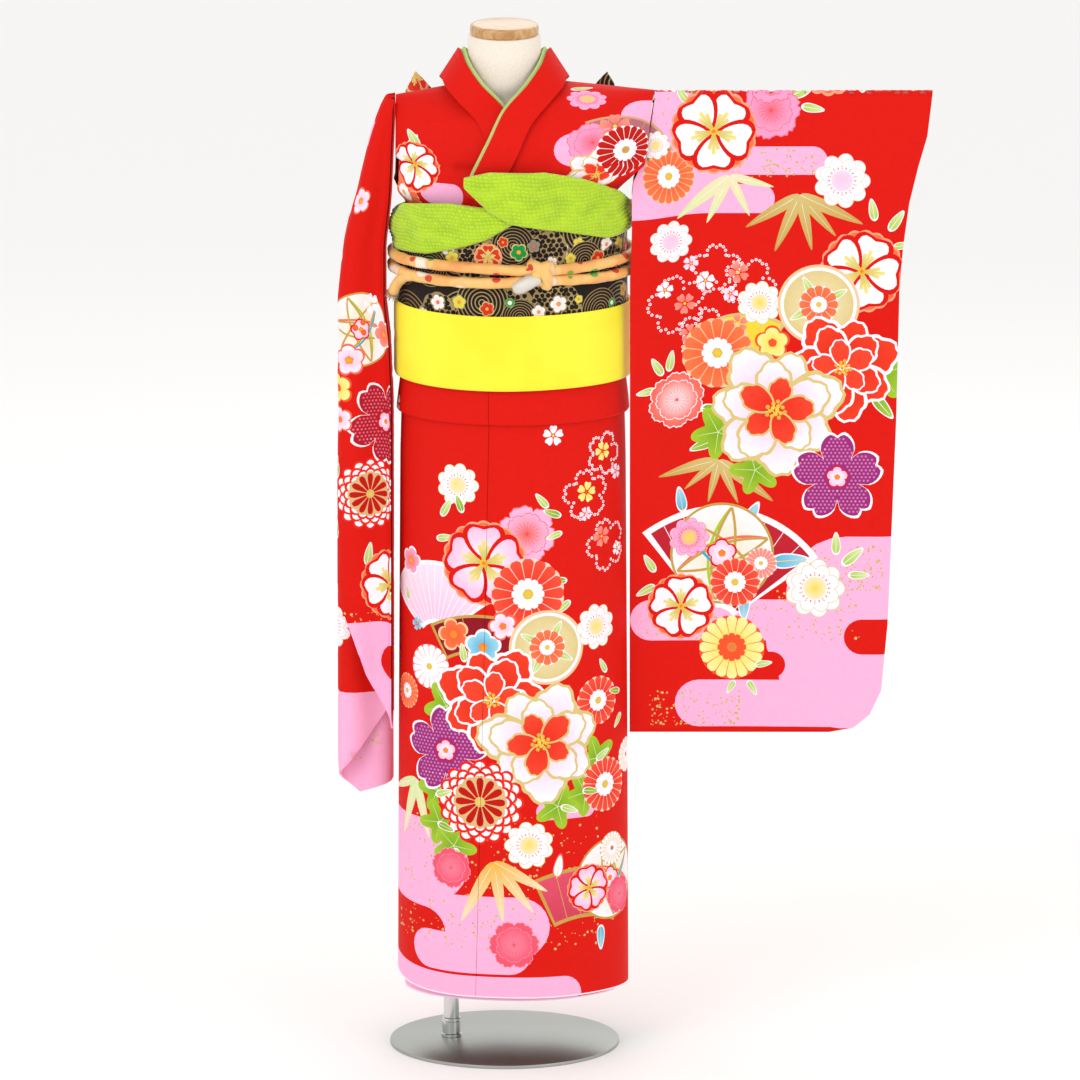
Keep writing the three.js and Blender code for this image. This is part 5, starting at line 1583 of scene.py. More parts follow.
# Collar: one folded band of plain red crepe, sewn to the neck edge and the two front edges,
# and inside it the thin pale green second collar that shows along the edge.
COLLAR_WALL = 2.6
SECOND_WALL = 1.2
SECOND_IN = 3.8
CHEST_EDGE = [
    # across, height, width, left offset, right offset
    (-45, 1001, 34, 7.3, None),
    (-40, 1012, 34, 8.3, -0.3),
    (-32, 1030, 34, 9.6, -0.3),
    (-16, 1062, 34, 9.6, -0.3),
    (0.5, 1094, 33, 9.6, -0.3),
]
NECK_EDGE = [
    # inner edge, outer edge
    ((27, -50, 1121), (52, -52, 1101)),
    ((43, -27, 1140), (65, -32, 1113)),
    ((49, 0, 1149), (70, -3, 1119)),
    ((51, 24, 1147), (72, 24, 1113)),
    ((42, 50, 1136), (60, 55, 1097)),
    ((22, 66, 1124), (31, 75, 1084)),
    ((0, 70, 1118), (0, 79, 1079)),
]


def front_surface(x, z, offset):
    """A point on the chest at an offset from the body's cloth."""
    low = min(z, CHEST_Z)
    c = min(1, abs(x - BODY_X) / body_width(low, x > BODY_X))
    depth = read(HALF_DEPTH, low) * (1 - c ** body_power(low)) ** (1 / body_power(low)) + offset
    if z > CHEST_Z:
        sine = min(1, (z - CHEST_Z) / (ridge_height(x) - CHEST_Z + offset))
        depth *= math.sqrt(1 - sine * sine)
    return Vector((x, -depth, z))


def collar_half(sign):
    """One side's rows of the collar: neck edge, outer edge and offset."""
    rows = []
    for x, z, width, left_offset, right_offset in CHEST_EDGE:
        offset = left_offset if sign > 0 else right_offset
        if offset is not None:
            rows.append((front_surface(sign * x, z, offset),
                         front_surface(sign * (x + 0.89 * width), z - 0.45 * width, offset), offset))
    for inner, outer in NECK_EDGE:
        rows.append((Vector((sign * inner[0], *inner[1:])), Vector((sign * outer[0], *outer[1:])),
                     6 if sign > 0 else 2.5))
    return rows


collar_rows = collar_half(1) + collar_half(-1)[-2::-1]


def spline(points, v):
    """An even curve through the points, v from 0 to 1."""
    at = min(1, max(0, v)) * (len(points) - 1)
    i = min(len(points) - 2, int(at))
    w = at - i
    p1, p2 = points[i], points[i + 1]
    p0 = points[i - 1] if i > 0 else 2 * p1 - p2
    p3 = points[i + 2] if i + 2 < len(points) else 2 * p2 - p1
    d0, d1, d2 = ((b - a).length ** 0.5 for a, b in ((p0, p1), (p1, p2), (p2, p3)))
    m1 = ((p1 - p0) / d0 - (p2 - p0) / (d0 + d1) + (p2 - p1) / d1) * d1
    m2 = ((p2 - p1) / d1 - (p3 - p1) / (d1 + d2) + (p3 - p2) / d2) * d1
    return (p1 * (2 * w**3 - 3 * w**2 + 1) + m1 * (w**3 - 2 * w**2 + w) + p2 * (3 * w**2 - 2 * w**3)
            + m2 * (w**3 - w**2))


def collar_surface(u, v):
    """Place on the collar: u across it, v along it from the left front."""
    neck = spline([row[0] for row in collar_rows], v)
    place = neck.lerp(spline([row[1] for row in collar_rows], v), u)
    at = v * (len(collar_rows) - 1)
    i = min(len(collar_rows) - 2, int(max(0, at)))
    offset = mix(collar_rows[i][2], collar_rows[i + 1][2], at - i)
    if place.y < -20 and place.z < ridge_height(place.x):
        out = min(place.y, front_surface(place.x, place.z, offset).y)
        place.y = mix(out, place.y, smooth(place.z, 1092, 1112))
    return place


def second_surface(u, v):
    """Place on the second collar, just inside the first one."""
    along = collar_surface(u, min(1, v + 0.01)) - collar_surface(u, max(0, v - 0.01))
    across = collar_surface(u + 0.05, v) - collar_surface(u - 0.05, v)
    return collar_surface(u, v) - across.cross(along).normalized() * SECOND_IN


COLLAR_LENGTH = 700
COLLAR_WIDTH = 36


def collar_place(x, y):
    """Place of the collar's cloth: across and along the band, in mm."""
    return tuple(collar_surface(x / COLLAR_WIDTH, y / COLLAR_LENGTH))


def second_place(x, y):
    """Place of the second collar's cloth, in the same lengths as the collar's."""
    return tuple(second_surface(x / COLLAR_WIDTH, y / COLLAR_LENGTH))


collar_box = [(0, 0), (COLLAR_WIDTH, 0), (COLLAR_WIDTH, COLLAR_LENGTH), (0, COLLAR_LENGTH)]
collar = cut_cloth(
    "collar_cloth", collar_box, list(np.linspace(0, COLLAR_WIDTH, 6)),
    list(np.linspace(0, COLLAR_LENGTH, 120)), [], red_ground, collar_place, [crepe, crepe], COLLAR_WALL,
)
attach(collar, "root")
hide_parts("collar")

second_start = 0.06 * COLLAR_LENGTH
second_box = [(-4, second_start), (11, second_start), (11, COLLAR_LENGTH), (-4, COLLAR_LENGTH)]
second_collar = cut_cloth(
    "second_collar_cloth", second_box, [-4, 0, 4, 8, 11],
    list(np.linspace(second_start, COLLAR_LENGTH, 110)), [], dyed("#BFE08A"), second_place, [crepe, crepe],
    SECOND_WALL,
)
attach(second_collar, "root")
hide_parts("second_collar")

# Sash: a stiff brocade band wound round the body, its ground nearly black, with gold thread
# woven in whirls and crackle and small flowers in red, green, white and yellow between them.
SASH_LOW, SASH_HIGH = 801, 985
SASH_OFFSET = 10
SASH_WALL = 3
DARK = "#1E1412"
THREAD_GOLD = "#A08A5E"
brocade = printed("gold_brocade", 0.8, 0.55, 0.6, 0.1)
brocade_back, shader = new_material("brocade_back", base_color=linear("#2A1D18"), roughness=0.7)
woven(brocade_back, shader, 0.8, 0.4, "UV")


def round_angle(s):
    """The angle at a length round the whole ring, the left side being 0."""
    turns, rest = divmod(s, ROUND_HALF)
    return turns * math.pi + angle_from_round(rest)


def whirl(x, y, r, turn=0.0, petal=DARK, rim=DARK, edge=THREAD_GOLD, eye=DARK):
    """Seven rings of gold thread one inside the other."""
    shapes = []
    for k in range(7):
        q = r * (1 - k / 7)
        shapes.append((disc(x, y, q, 30), dyed(edge, x, y, r, 1)))
        shapes.append((disc(x, y, q - r * 0.042, 30), dyed(petal, x, y, r)))
    return shapes


def crackle(x, y, r, turn=0.0, petal=DARK, rim=DARK, edge=THREAD_GOLD, eye=DARK):
    """A gold disc broken up by dark flakes."""
    shapes = [(rose(x, y, r, turn, 8, 0.06, steps=48), dyed(edge, x, y, r, 1))]
    dice = random.Random(int(x * 7 + y * 13))
    pitch = 6.2
    for px, py in staggered(r, pitch):
        if math.hypot(px, py) < r - pitch * 0.5:
            px += dice.uniform(-1, 1)
            py += dice.uniform(-1, 1)
            shapes.append(
                (
                    rose(x + px, y + py, dice.uniform(2.7, 3.35), dice.uniform(0, 2), 5, 0.16, steps=8),
                    style(petal, DARK, x + px, y + py, 2.6),
                )
            )
    return shapes


KINDS.update(whirl=whirl, crackle=crackle)
TINTS.update(
    weave=(DARK, DARK, THREAD_GOLD, DARK), woven_red=("#C81E14", "#E0402A", PALE_GOLD, YELLOW),
    woven_green=("#128A3C", "#1C9C4A", PALE_GOLD, YELLOW),
    woven_white=("#EDE6D8", WHITE, THREAD_GOLD, PALE_GOLD),
    woven_yellow=("#D9CB3A", "#E8DC5A", THREAD_GOLD, PALE_GOLD),
    woven_grey=("#7E7666", "#9A917E", DARK, THREAD_GOLD),
)
# One repeat of the woven pattern: across and up, in mm, in a tile 190 wide and 180 high.
TILE_WIDTH, TILE_HEIGHT = 190, 180
TILE = [
    ("whirl", 40, 140, 32, 0, "weave"), ("crackle", 92, 150, 30, 0, "weave"),
    ("whirl", 150, 128, 34, 0, "weave"), ("crackle", 20, 88, 30, 0, "weave"),
    ("whirl", 78, 92, 30, 0, "weave"), ("crackle", 130, 70, 34, 0, "weave"),
    ("whirl", 180, 58, 32, 0, "weave"), ("whirl", 30, 34, 34, 0, "weave"),
    ("crackle", 84, 30, 30, 0, "weave"), ("whirl", 140, 16, 30, 0, "weave"),
    ("cherry", 40, 84, 17, 18, "woven_red"), ("plum", 76, 96, 12, 54, "woven_green"),
    ("plum", 8, 76, 10, 0, "woven_yellow"), ("plum", 112, 84, 9, 0, "woven_white"),
    ("plum", 134, 92, 9, 20, "woven_yellow"), ("plum", 92, 108, 9, 10, "woven_grey"),
    ("plum", 104, 96, 8, 40, "woven_grey"), ("plum", 60, 118, 8, 0, "woven_red"),
    ("plum", 20, 38, 10, 0, "woven_white"), ("plum", 42, 34, 10, 30, "woven_yellow"),
    ("mum", 62, 26, 9, 0, "woven_red"), ("mum", 98, 42, 7, 0, "woven_green"),
    ("plum", 122, 34, 11, 10, "woven_white"), ("plum", 150, 38, 11, 30, "woven_white"),
    ("plum", 172, 44, 8, 0, "woven_yellow"), ("cherry", 166, 92, 15, 30, "woven_red"),
    ("plum", 186, 92, 12, 10, "woven_green"), ("plum", 70, 60, 8, 0, "woven_green"),
    ("plum", 26, 120, 11, 20, "woven_white"), ("plum", 130, 132, 12, 0, "woven_green"),
    ("cherry", 80, 148, 16, 10, "woven_red"), ("plum", 180, 140, 11, 0, "woven_white"),
    ("plum", 52, 160, 9, 0, "woven_yellow"),
]


def brocade_pattern(x0, x1, y0, y1, shift=0.0):
    """The woven repeat over a stretch of cloth."""
    shapes = []
    for i in range(math.floor((x0 - shift) / TILE_WIDTH), math.ceil((x1 - shift) / TILE_WIDTH) + 1):
        for j in range(math.floor(y0 / TILE_HEIGHT), math.ceil(y1 / TILE_HEIGHT) + 1):
            left, base = shift + i * TILE_WIDTH, j * TILE_HEIGHT
            shapes += paint(
                [row for row in TILE
                 if x0 - 40 < left + row[1] < x1 + 40 and y0 - 40 < base + row[2] < y1 + 40],
                lambda x, y, left=left, base=base: (left + x, base + y),
                1.0,
            )
    return shapes


dark_ground = dyed(DARK)
SASH_BACK = -ROUND_HALF / 2
sash_border = [(s, SASH_LOW) for s in np.linspace(SASH_BACK, SASH_BACK + 2 * ROUND_HALF, 90)]


def sash_top(s):
    """The sash's upper edge, a little lower at both sides under the bustle cloth."""
    phi = s / ROUND_HALF * math.pi
    return SASH_HIGH - 26 * math.exp(
        -(((phi - 3.15) / 0.5) ** 2)
    ) - 24 * math.exp(-(((phi + 0.15) / 0.5) ** 2))


sash_border += [(s, sash_top(s)) for s, _ in reversed(sash_border)]
FRONT_MIDDLE_TILE = ROUND_HALF / 2 - 95
sash_mirror = 2 * (SASH_BACK + ROUND_HALF)
sash_pattern = brocade_pattern(SASH_BACK, SASH_BACK + 2 * ROUND_HALF, SASH_LOW, SASH_HIGH, FRONT_MIDDLE_TILE)
sash_shapes = [
    ([(sash_mirror - x, y) for x, y in outline], (*fill[:2], sash_mirror - fill[2], *fill[3:]))
    for outline, fill in sash_pattern
]


def sash_spot(px, py):
    """Flat place on the sash's front of a point seen in the photo."""
    x = (px - AXIS_PX[0]) * PIXEL_MM
    up = (AXIS_PX[1] - py) * PIXEL_MM
    a, b = body_width(900, x > BODY_X) + SASH_OFFSET, read(HALF_DEPTH, 900) + SASH_OFFSET
    c = max(-1, min(1, (x - BODY_X) / a))
    return round_from_angle(math.acos(c)), (up + b * math.sqrt(1 - c * c) * VIEW_SIN) / VIEW_COS


SASH_FRONT = [
    ("crackle", 470, 262, 20, 0, "weave"), ("whirl", 513, 248, 22, 0, "weave"),
    ("crackle", 549, 252, 20, 0, "weave"), ("whirl", 585, 262, 20, 0, "weave"),
    ("crackle", 612, 262, 18, 0, "weave"), ("whirl", 430, 268, 20, 0, "weave"),
    ("whirl", 482, 304, 27, 0, "weave"), ("crackle", 556, 310, 28, 0, "weave"),
    ("crackle", 438, 312, 20, 0, "weave"), ("whirl", 520, 318, 18, 0, "weave"),
    ("whirl", 600, 310, 22, 0, "weave"), ("cherry", 488, 259, 14, 90, "woven_red"),
    ("plum", 519, 254, 9.5, 54, "woven_green"), ("plum", 452, 259, 8, 0, "woven_yellow"),
    ("plum", 552, 264, 7, 0, "woven_white"), ("plum", 571, 260, 6.5, 20, "woven_yellow"),
    ("plum", 598, 259, 9, 0, "woven_red"), ("plum", 616, 260, 8, 0, "woven_green"),
    ("plum", 534, 248, 8, 10, "woven_grey"), ("plum", 503, 244, 6, 0, "woven_red"),
    ("plum", 438, 303, 9, 0, "woven_white"), ("plum", 424, 313, 6, 0, "woven_white"),
    ("plum", 459, 303, 8, 20, "woven_yellow"), ("plum", 487, 310, 8, 0, "woven_red"),
    ("mum", 510, 304, 5, 0, "woven_green"), ("plum", 559, 305, 10, 0, "woven_white"),
    ("plum", 539, 313, 8, 10, "woven_white"), ("plum", 579, 300, 5, 0, "woven_yellow"),
    ("mum", 611, 303, 5, 0, "woven_green"),
]
sash_shapes += paint(SASH_FRONT, sash_spot)


def sash_place(s, z):
    """Place of the sash's cloth: round the body and height."""
    x, y, _ = body_point(round_angle(s), min(max(z, SASH_LOW - 1), SASH_HIGH), SASH_OFFSET)
    return (x, y, z)


sash = cut_cloth(
    "sash_cloth", sash_border, list(np.arange(SASH_BACK + 4, SASH_BACK + 2 * ROUND_HALF, 9)),
    list(np.linspace(SASH_LOW, SASH_HIGH, 9)), sash_shapes, dark_ground, sash_place, [brocade, brocade_back],
    SASH_WALL,
)
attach(sash, "root")
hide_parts("obi_wrap")

# Bow at the back: two pleated wings, the knot between them and the hanging drum loop,
# all of the sash's brocade, each a loop of cloth folded over at its far end.
BOW_X = 8
WING_WALL = 2.2
WING_ROOT = 22.2
WING_SPAN = 100
WING_RISE = 150


def wing_surface(sign, side, u, v):
    """Place on a bow wing: side 1 or -1 of the loop, u out from the knot, v up."""
    low = (mix(WING_ROOT, 120, u), mix(966, 930, u))
    high = (mix(WING_ROOT, 108, u), mix(1004, 1100, u))
    out = mix(low[0], high[0], v) + mix(2, 24, smooth(v, 0.45, 0.8)) * math.sin(math.pi * v) * u * u
    pleat = 2.6 * math.cos(5 * math.pi * v) * (1 - u) * min(1, 6 * u)
    deep = mix(3.4, 8, math.sin(math.pi * min(1, u * 0.8))) - WING_WALL / 2
    deep *= math.sqrt(max(0.0, 1 - max(0, (u - 0.93) / 0.07) ** 2))
    rim = min(1, 12 * v, 12 * (1 - v))
    return (BOW_X + sign * out, 116.5 + pleat + side * deep * (0.4 + 0.6 * rim), mix(low[1], high[1], v))


for name, sign in (("left_wing_cloth", 1), ("right_wing_cloth", -1)):
    def wing_place(x, y, sign=sign):
        back = x <= WING_SPAN
        return wing_surface(
            sign, 1 if back else -1, (x if back else 2 * WING_SPAN - x) / WING_SPAN, y / WING_RISE,
        )

    wing_box = [(0, 0), (2 * WING_SPAN, 0), (2 * WING_SPAN, WING_RISE), (0, WING_RISE)]
    wing = cut_cloth(
        name, wing_box,
        list(np.linspace(0, 2 * WING_SPAN, 25)) + [WING_SPAN + k for k in (-5, -2.5, -1, 1, 2.5, 5)],
        list(np.linspace(0, WING_RISE, 25)),
        brocade_pattern(0, 2 * WING_SPAN, 0, WING_RISE, 60 if sign > 0 else 20), dark_ground, wing_place,
        [brocade, brocade_back], WING_WALL, flip=sign > 0,
    )
    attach(wing, "root")
    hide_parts("bow_loop_left" if sign > 0 else "bow_loop_right")

KNOT_HALF = (22, 29, 28)
KNOT_PLACE = (BOW_X, 130.6, 986)


def square(value, power=0.55):
    """Flattens a ball's side towards a box's."""
    return math.copysign(abs(value) ** power, value)


def knot_place(x, y):
    """A soft squared ball: x runs round it from pole to pole, y once round its middle."""
    lean, turn = math.pi * (x / 60 - 0.5), 2 * math.pi * y / 180
    c = math.cos(lean)
    flat = (math.sin(lean), c * math.cos(turn), c * math.sin(turn))
    crease = 1 - 0.03 * (1 - abs(math.cos(3 * lean))) * abs(c)
    return tuple(p + h * square(f) * crease for p, h, f in zip(KNOT_PLACE, KNOT_HALF, flat))


knot_box = [(0.2, 0), (59.8, 0), (59.8, 179.99), (0.2, 179.99)]
bow_knot = cut_cloth(
    "bow_knot_cloth", knot_box, list(np.linspace(2, 58, 20)), list(np.linspace(0, 179.99, 50)),
    brocade_pattern(0, 60, 0, 180, 100), dark_ground, knot_place, [brocade, brocade_back], 0.4,
)
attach(bow_knot, "root")
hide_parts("bow_knot")

DRUM_WIDTH = 150
DRUM_BOX = (128, 158, 800, 958.4)
DRUM_ROUND = 13


def drum_path():
    """The drum's loop seen from the side, through the middle of its wall, as points and lengths."""
    y0, y1, z0, z1 = (DRUM_BOX[0] + 1.5, DRUM_BOX[1] - 1.5, DRUM_BOX[2] + 1.5, DRUM_BOX[3] - 1.5)
    r = DRUM_ROUND - 1.5
    points = [((y0 + y1) / 2, z1)]
    for cy, cz, first in (
        (y1 - r, z1 - r, 90), (y1 - r, z0 + r, 0), (y0 + r, z0 + r, -90), (y0 + r, z1 - r, -180),
    ):
        points += [(cy + r * math.cos(math.radians(first - k)), cz + r * math.sin(math.radians(first - k)))
                   for k in range(0, 91, 15)]
    points.append(points[0])
    lengths = [0.0]
    for a, b in zip(points, points[1:]):
        lengths.append(lengths[-1] + math.dist(a, b))
    return points, lengths


drum_points, drum_lengths = drum_path()
DRUM_ROUND_LENGTH = drum_lengths[-1]


def drum_place(x, y):
    """Place of the drum's cloth: across, and along its loop."""
    at_y = float(np.interp(y, drum_lengths, [p[0] for p in drum_points]))
    at_z = float(np.interp(y, drum_lengths, [p[1] for p in drum_points]))
    return (BOW_X - DRUM_WIDTH / 2 + x, at_y, at_z)


drum_box = [(0, 0), (DRUM_WIDTH, 0), (DRUM_WIDTH, DRUM_ROUND_LENGTH), (0, DRUM_ROUND_LENGTH)]
drum = cut_cloth(
    "drum_cloth", drum_box, list(np.linspace(0, DRUM_WIDTH, 13)),
    sorted(drum_lengths + list(np.arange(20, DRUM_ROUND_LENGTH, 20))),
    brocade_pattern(0, DRUM_WIDTH, 0, DRUM_ROUND_LENGTH, 10), dark_ground, drum_place,
    [brocade, brocade_back], SASH_WALL - 0.2, flip=False,
)
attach(drum, "root")
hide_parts("bow_drum")

# Bustle cloth: lime silk, tie-dyed so that rows of tiny points stand up from it, wrapped
# over the sash's upper edge in two ends that cross in front, the upper one on top.
# The bustle's colour carries painted shade and highlight: a deeper lime stands for shade between the tie-dyed
# points and in the creases, and the bright lime for light on the points' tips and where the cloth puffs out.
LIME, SHADED_LIME = "#BEE016", "#86B206"
OVER_TOP = [(-0.6, 972), (0.12, 978), (0.4, 996), (0.9, 1018), (1.3, 1030), (1.75, 1031), (1.95, 1024)]
OVER_BOTTOM = [(0.12, 948), (0.6, 946), (1.2, 962), (1.6, 972), (1.75, 985), (1.95, 1012)]
UNDER_TOP = [(1.5, 985), (2.1, 992), (2.6, 985), (3.0, 967)]
UNDER_BOTTOM = [(1.5, 976), (1.62, 966), (1.8, 952), (2.0, 943), (2.4, 930), (3.0, 925)]
POINT_PITCH = 4.2
POINT_RISE = 1.5
lime_silk, shader = new_material(
    "tie_dyed_lime_silk", base_color=linear(LIME), roughness=0.6, sheen_weight=0.5, sheen_roughness=0.4
)
# On the bustle the colours read here are painted shade and highlight that follow its bumps.
tint = node(lime_silk, "ShaderNodeAttribute", attribute_name="print")
join_socket(lime_silk, tint.outputs["Color"], shader, "Base Color")
bumped(lime_silk, shader, noise_on(lime_silk, 900.0, 3.0), 0.35, 0.0005)


def bustle(name, top, bottom, first, last, lift, replaced):
    """A closed puffed band; its outer side carries the rows of points, its inner one has half as many."""
    columns = int((last - first) * 125 / 1.35)
    rows = 62
    depth = 4
    points, bump_shading = [], []
    for j in range(rows + 1):
        for i in range(columns + 1):
            phi = mix(first, last, i / columns)
            v = j / rows
            z = mix(read(bottom, phi), read(top, phi), v)
            puff = noise.noise(Vector((5.5 * phi + 0.02 * z, z / 13 - 1.6 * phi, lift)))
            crease = (1.6 * math.sin(5.5 * v + 1.3 * phi) + 3.2 * puff) * math.sin(math.pi * v)
            shake = noise.noise(Vector((27 * phi, z / 4.5, 5)))
            slant = 125 * phi + 0.35 * z + 1.6 * shake
            a, b = math.pi * slant / POINT_PITCH, math.pi * (z + 1.2 * math.sin(slant / 9)) / POINT_PITCH
            peak = abs(math.sin(a + (math.pi / 2 if int(b / math.pi) % 2 else 0)) * math.sin(b)) ** 1.4
            offset = SASH_OFFSET + 5.4 + lift * smooth(phi, 1.05, 1.45) + 3 * math.sin(math.pi * v)
            rim = min(1, 10 * v, 10 * (1 - v), 14 * i / columns * 3, 14 * (1 - i / columns) * 3)
            outer = offset + depth / 2 * math.sqrt(max(0, rim)) + (
                crease + POINT_RISE * peak
            ) * (0.35 + 0.65 * rim)
            x, y, _ = body_point(phi, min(z, 985), outer)
            points.append((x, y, z + 0.8 * (peak - 0.5)))
            # Painted shade and highlight: lighter on the points' tips and where the cloth puffs out, darker
            # between the points and in the creases.
            bump_shading.append(min(1, peak * (0.8 + 0.6 * shake)) + 0.35 * puff)
    outer_count = len(points)
    across, up = [*range(0, columns, 2), columns], [*range(0, rows, 2), rows]
    for j in up:
        for i in across:
            phi = mix(first, last, i / columns)
            v = j / rows
            z = mix(read(bottom, phi), read(top, phi), v)
            offset = SASH_OFFSET + 5.4 + lift * smooth(phi, 1.05, 1.45) + 3 * math.sin(math.pi * v) - depth / 2
            x, y, _ = body_point(phi, min(z, 985), offset)
            points.append((x, y, z))
            bump_shading.append(0)
    faces = []
    wide, narrow = columns + 1, len(across)
    for j in range(rows):
        for i in range(columns):
            a = j * wide + i
            faces.append((a, a + wide, a + wide + 1, a + 1))
    for j in range(len(up) - 1):
        for i in range(narrow - 1):
            b = outer_count + j * narrow + i
            faces.append((b, b + 1, b + narrow + 1, b + narrow))
    for i, k in ((0, 0), (columns, narrow - 1)):
        for j, (low, high) in enumerate(zip(up, up[1:])):
            b = outer_count + j * narrow + k
            faces.append((*(m * wide + i for m in range(low, high + 1)), b + narrow, b))
    for j, k in ((0, 0), (rows, len(up) - 1)):
        for i, (low, high) in enumerate(zip(across, across[1:])):
            b = outer_count + k * narrow + i
            faces.append((*(j * wide + m for m in range(low, high + 1)), b + 1, b))
    piece = add_piece(name, points, faces, [lime_silk])
    finish_shell(piece)
    # Painted shade: the deeper lime stands for shade in the hollows, the bright lime for light on the tips and
    # puffs.
    shaded_tint, lit_tint = np.array(linear(SHADED_LIME)), np.array(linear(LIME))
    color = piece.data.color_attributes.new("print", "FLOAT_COLOR", "POINT")
    for i, peak in enumerate(bump_shading[: len(piece.data.vertices)]):
        color.data[i].color = shaded_tint + (lit_tint - shaded_tint) * max(0, min(1, 0.42 + peak))
    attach(piece, "root")
    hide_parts(replaced)


bustle("bustle_over", OVER_TOP, OVER_BOTTOM, -1.56, 1.95, 7.8, "obiage_over")
bustle("bustle_under", UNDER_TOP, UNDER_BOTTOM, 1.5, 4.7, 0, "obiage_under")

# Sash cord: a padded round cord of printed gold silk twice round the sash, knotted in front,
# with a silver-lined loop end and a gold tuft on its free end.
CORD_RADIUS = 6.1
CORD_Z = (919, 903)
KNOT_PHI = 1.33
KNOT_Z = 911
cord_silk, shader = new_material(
    "printed_gold_silk", base_color=linear("#E9A860"), roughness=0.42, sheen_weight=0.3, sheen_roughness=0.3
)
where = node(cord_silk, "ShaderNodeTexCoord")
patches = noise_on(cord_silk, 24.0, 2.0)
spread = ramp(cord_silk, patches, (0.28, "#E58A48"), (0.68, "#F3E3CF"))
spread.color_ramp.interpolation = "EASE"
for position, color in ((0.42, "#EBA95C"), (0.55, "#F0C070"), (0.62, "#EDB470")):
    spread.color_ramp.elements.new(position).color = linear(color)
spots = node(
    cord_silk, "ShaderNodeTexVoronoi", {"Scale": 44.0}, {"Vector": where.outputs["Object"]}, feature="F1"
)
near = node(cord_silk, "ShaderNodeMath", {1: 0.25}, {0: spots.outputs["Distance"]}, operation="LESS_THAN")
which = ramp(cord_silk, spots.outputs["Color"], (0, "#D23A1E"), (0.45, "#5FA53A"))
which.color_ramp.interpolation = "CONSTANT"
which.color_ramp.elements.new(0.7).color = linear("#F8EFE4")
blend = node(
    cord_silk, "ShaderNodeMix",
    links={0: near.outputs["Value"], 6: spread.outputs["Color"], 7: which.outputs["Color"]},
    data_type="RGBA",
)
join_socket(cord_silk, blend.outputs[2], shader, "Base Color")
bumped(cord_silk, shader, noise_on(cord_silk, 260.0, 3.0), 0.3, 0.0006)
silver, shader = new_material("silver_thread", base_color=linear("#D9D4CC"), metallic=0.4, roughness=0.35)
woven(silver, shader, 0.6, 0.6)
tuft_gold, shader = new_material(
    "gold_tuft_thread", base_color=linear("#B58B45"), roughness=0.5, sheen_weight=0.4,
)
woven(tuft_gold, shader, 0.4, 0.5)


def tube_mesh(route, radii, closed=False, sides=20, creases=0.0):
    """Points and faces of a round tube along a route, its radius given at each point."""
    count = len(route)
    points = []
    side_way = None
    for i, at in enumerate(route):
        ahead = route[(i + 1) % count] if closed or i < count - 1 else at + (at - route[i - 1])
        behind = route[i - 1] if closed or i > 0 else at - (ahead - at)
        along = (ahead - behind).normalized()
        if side_way is None:
            side_way = along.cross(Vector((0.1, 0.2, 1))).normalized()
        side_way = (side_way - along * side_way.dot(along)).normalized()
        up_way = along.cross(side_way)
        for turn in around(sides):
            r = radii[i] * (1 + creases * math.sin(3 * turn + i * 0.55) * math.sin(i * 0.8))
            points.append(at + side_way * (r * math.cos(turn)) + up_way * (r * math.sin(turn)))
    return points, ring_faces(count, sides, closed)


def joined(name, parts):
    """One piece from several closed meshes, each with its own material."""
    points, faces, owners, materials = [], [], [], []
    for (part_points, part_faces), material in parts:
        if material not in materials:
            materials.append(material)
        start = len(points)
        points += [tuple(p) for p in part_points]
        faces += [tuple(start + v for v in face) for face in part_faces]
        owners += [materials.index(material)] * len(part_faces)
    piece = add_piece(name, points, faces, materials)
    piece.data.polygons.foreach_set("material_index", owners)
    finish_shell(piece)
    return piece


cord_out = SASH_OFFSET + SASH_WALL / 2 + CORD_RADIUS + JOINT_GAP
cord_parts = []
for z in CORD_Z:
    route = []
    for i in range(180):
        phi = 2 * math.pi * i / 180
        pinch = math.exp(-(((phi - KNOT_PHI) / 0.35) ** 2))
        x, y, _ = body_point(phi, z, cord_out + 0.3 * math.sin(i * 1.1))
        soft = 0.9 * math.sin(3 * phi + z) * math.exp(-(((phi - 1.6) / 1.4) ** 2))
        route.append(Vector((x, y, mix(z, KNOT_Z, 0.2 * pinch) + soft)))
    cord_parts.append((tube_mesh(route, [CORD_RADIUS * (1 + 0.05 * math.sin(i * 0.9)) for i in range(180)],
                                 True, 20, 0.03), cord_silk))


def near_knot(across, up, out):
    """A place by the front knot, in mm across (to the photo's right), up and outwards."""
    x, y, z = body_point(KNOT_PHI - across / 125, KNOT_Z, cord_out + out)
    return Vector((x, y, z + up))


def smooth_route(points, steps):
    """An even curve through the points, as a row of places."""
    return [spline(points, i / steps) for i in range(steps + 1)]


for places, steps, radii, creases, material in (
    ([(6, -12, -1), (7, -4, 5), (2, 6, 6.5), (-7, 12, 4), (-10, 13, -2)],
     24, [7.2 - 0.6 * abs(i - 12) / 12 for i in range(25)], 0.05, cord_silk),
    ([(12, 9, -2), (8, 11, 3), (0, 9, 5.5), (-5, 2, 5), (-8, -6, 1)], 24, [6.6] * 25, 0.05, cord_silk),
    ([(-2, -2, 4), (-12, -5, 6), (-23, -11, 6.5), (-28, -14, 4)],
     20, [6.2 + 2.2 * math.sin(math.pi * i / 20) for i in range(20)] + [4], 0.03, silver),
):
    route = smooth_route([near_knot(*place) for place in places], steps)
    cord_parts.append((tube_mesh(route, radii, False, 20, creases), material))
tail_places = ((2.55, 903, 0), (2.68, 899, 1.5), (2.8, 890, 3), (2.9, 878, 3.5))
tail_route = smooth_route([Vector(body_point(phi, z, cord_out + out)) for phi, z, out in tail_places], 20)
cord_parts.append((tube_mesh(tail_route, [CORD_RADIUS] * 21, False, 20, 0.04), cord_silk))
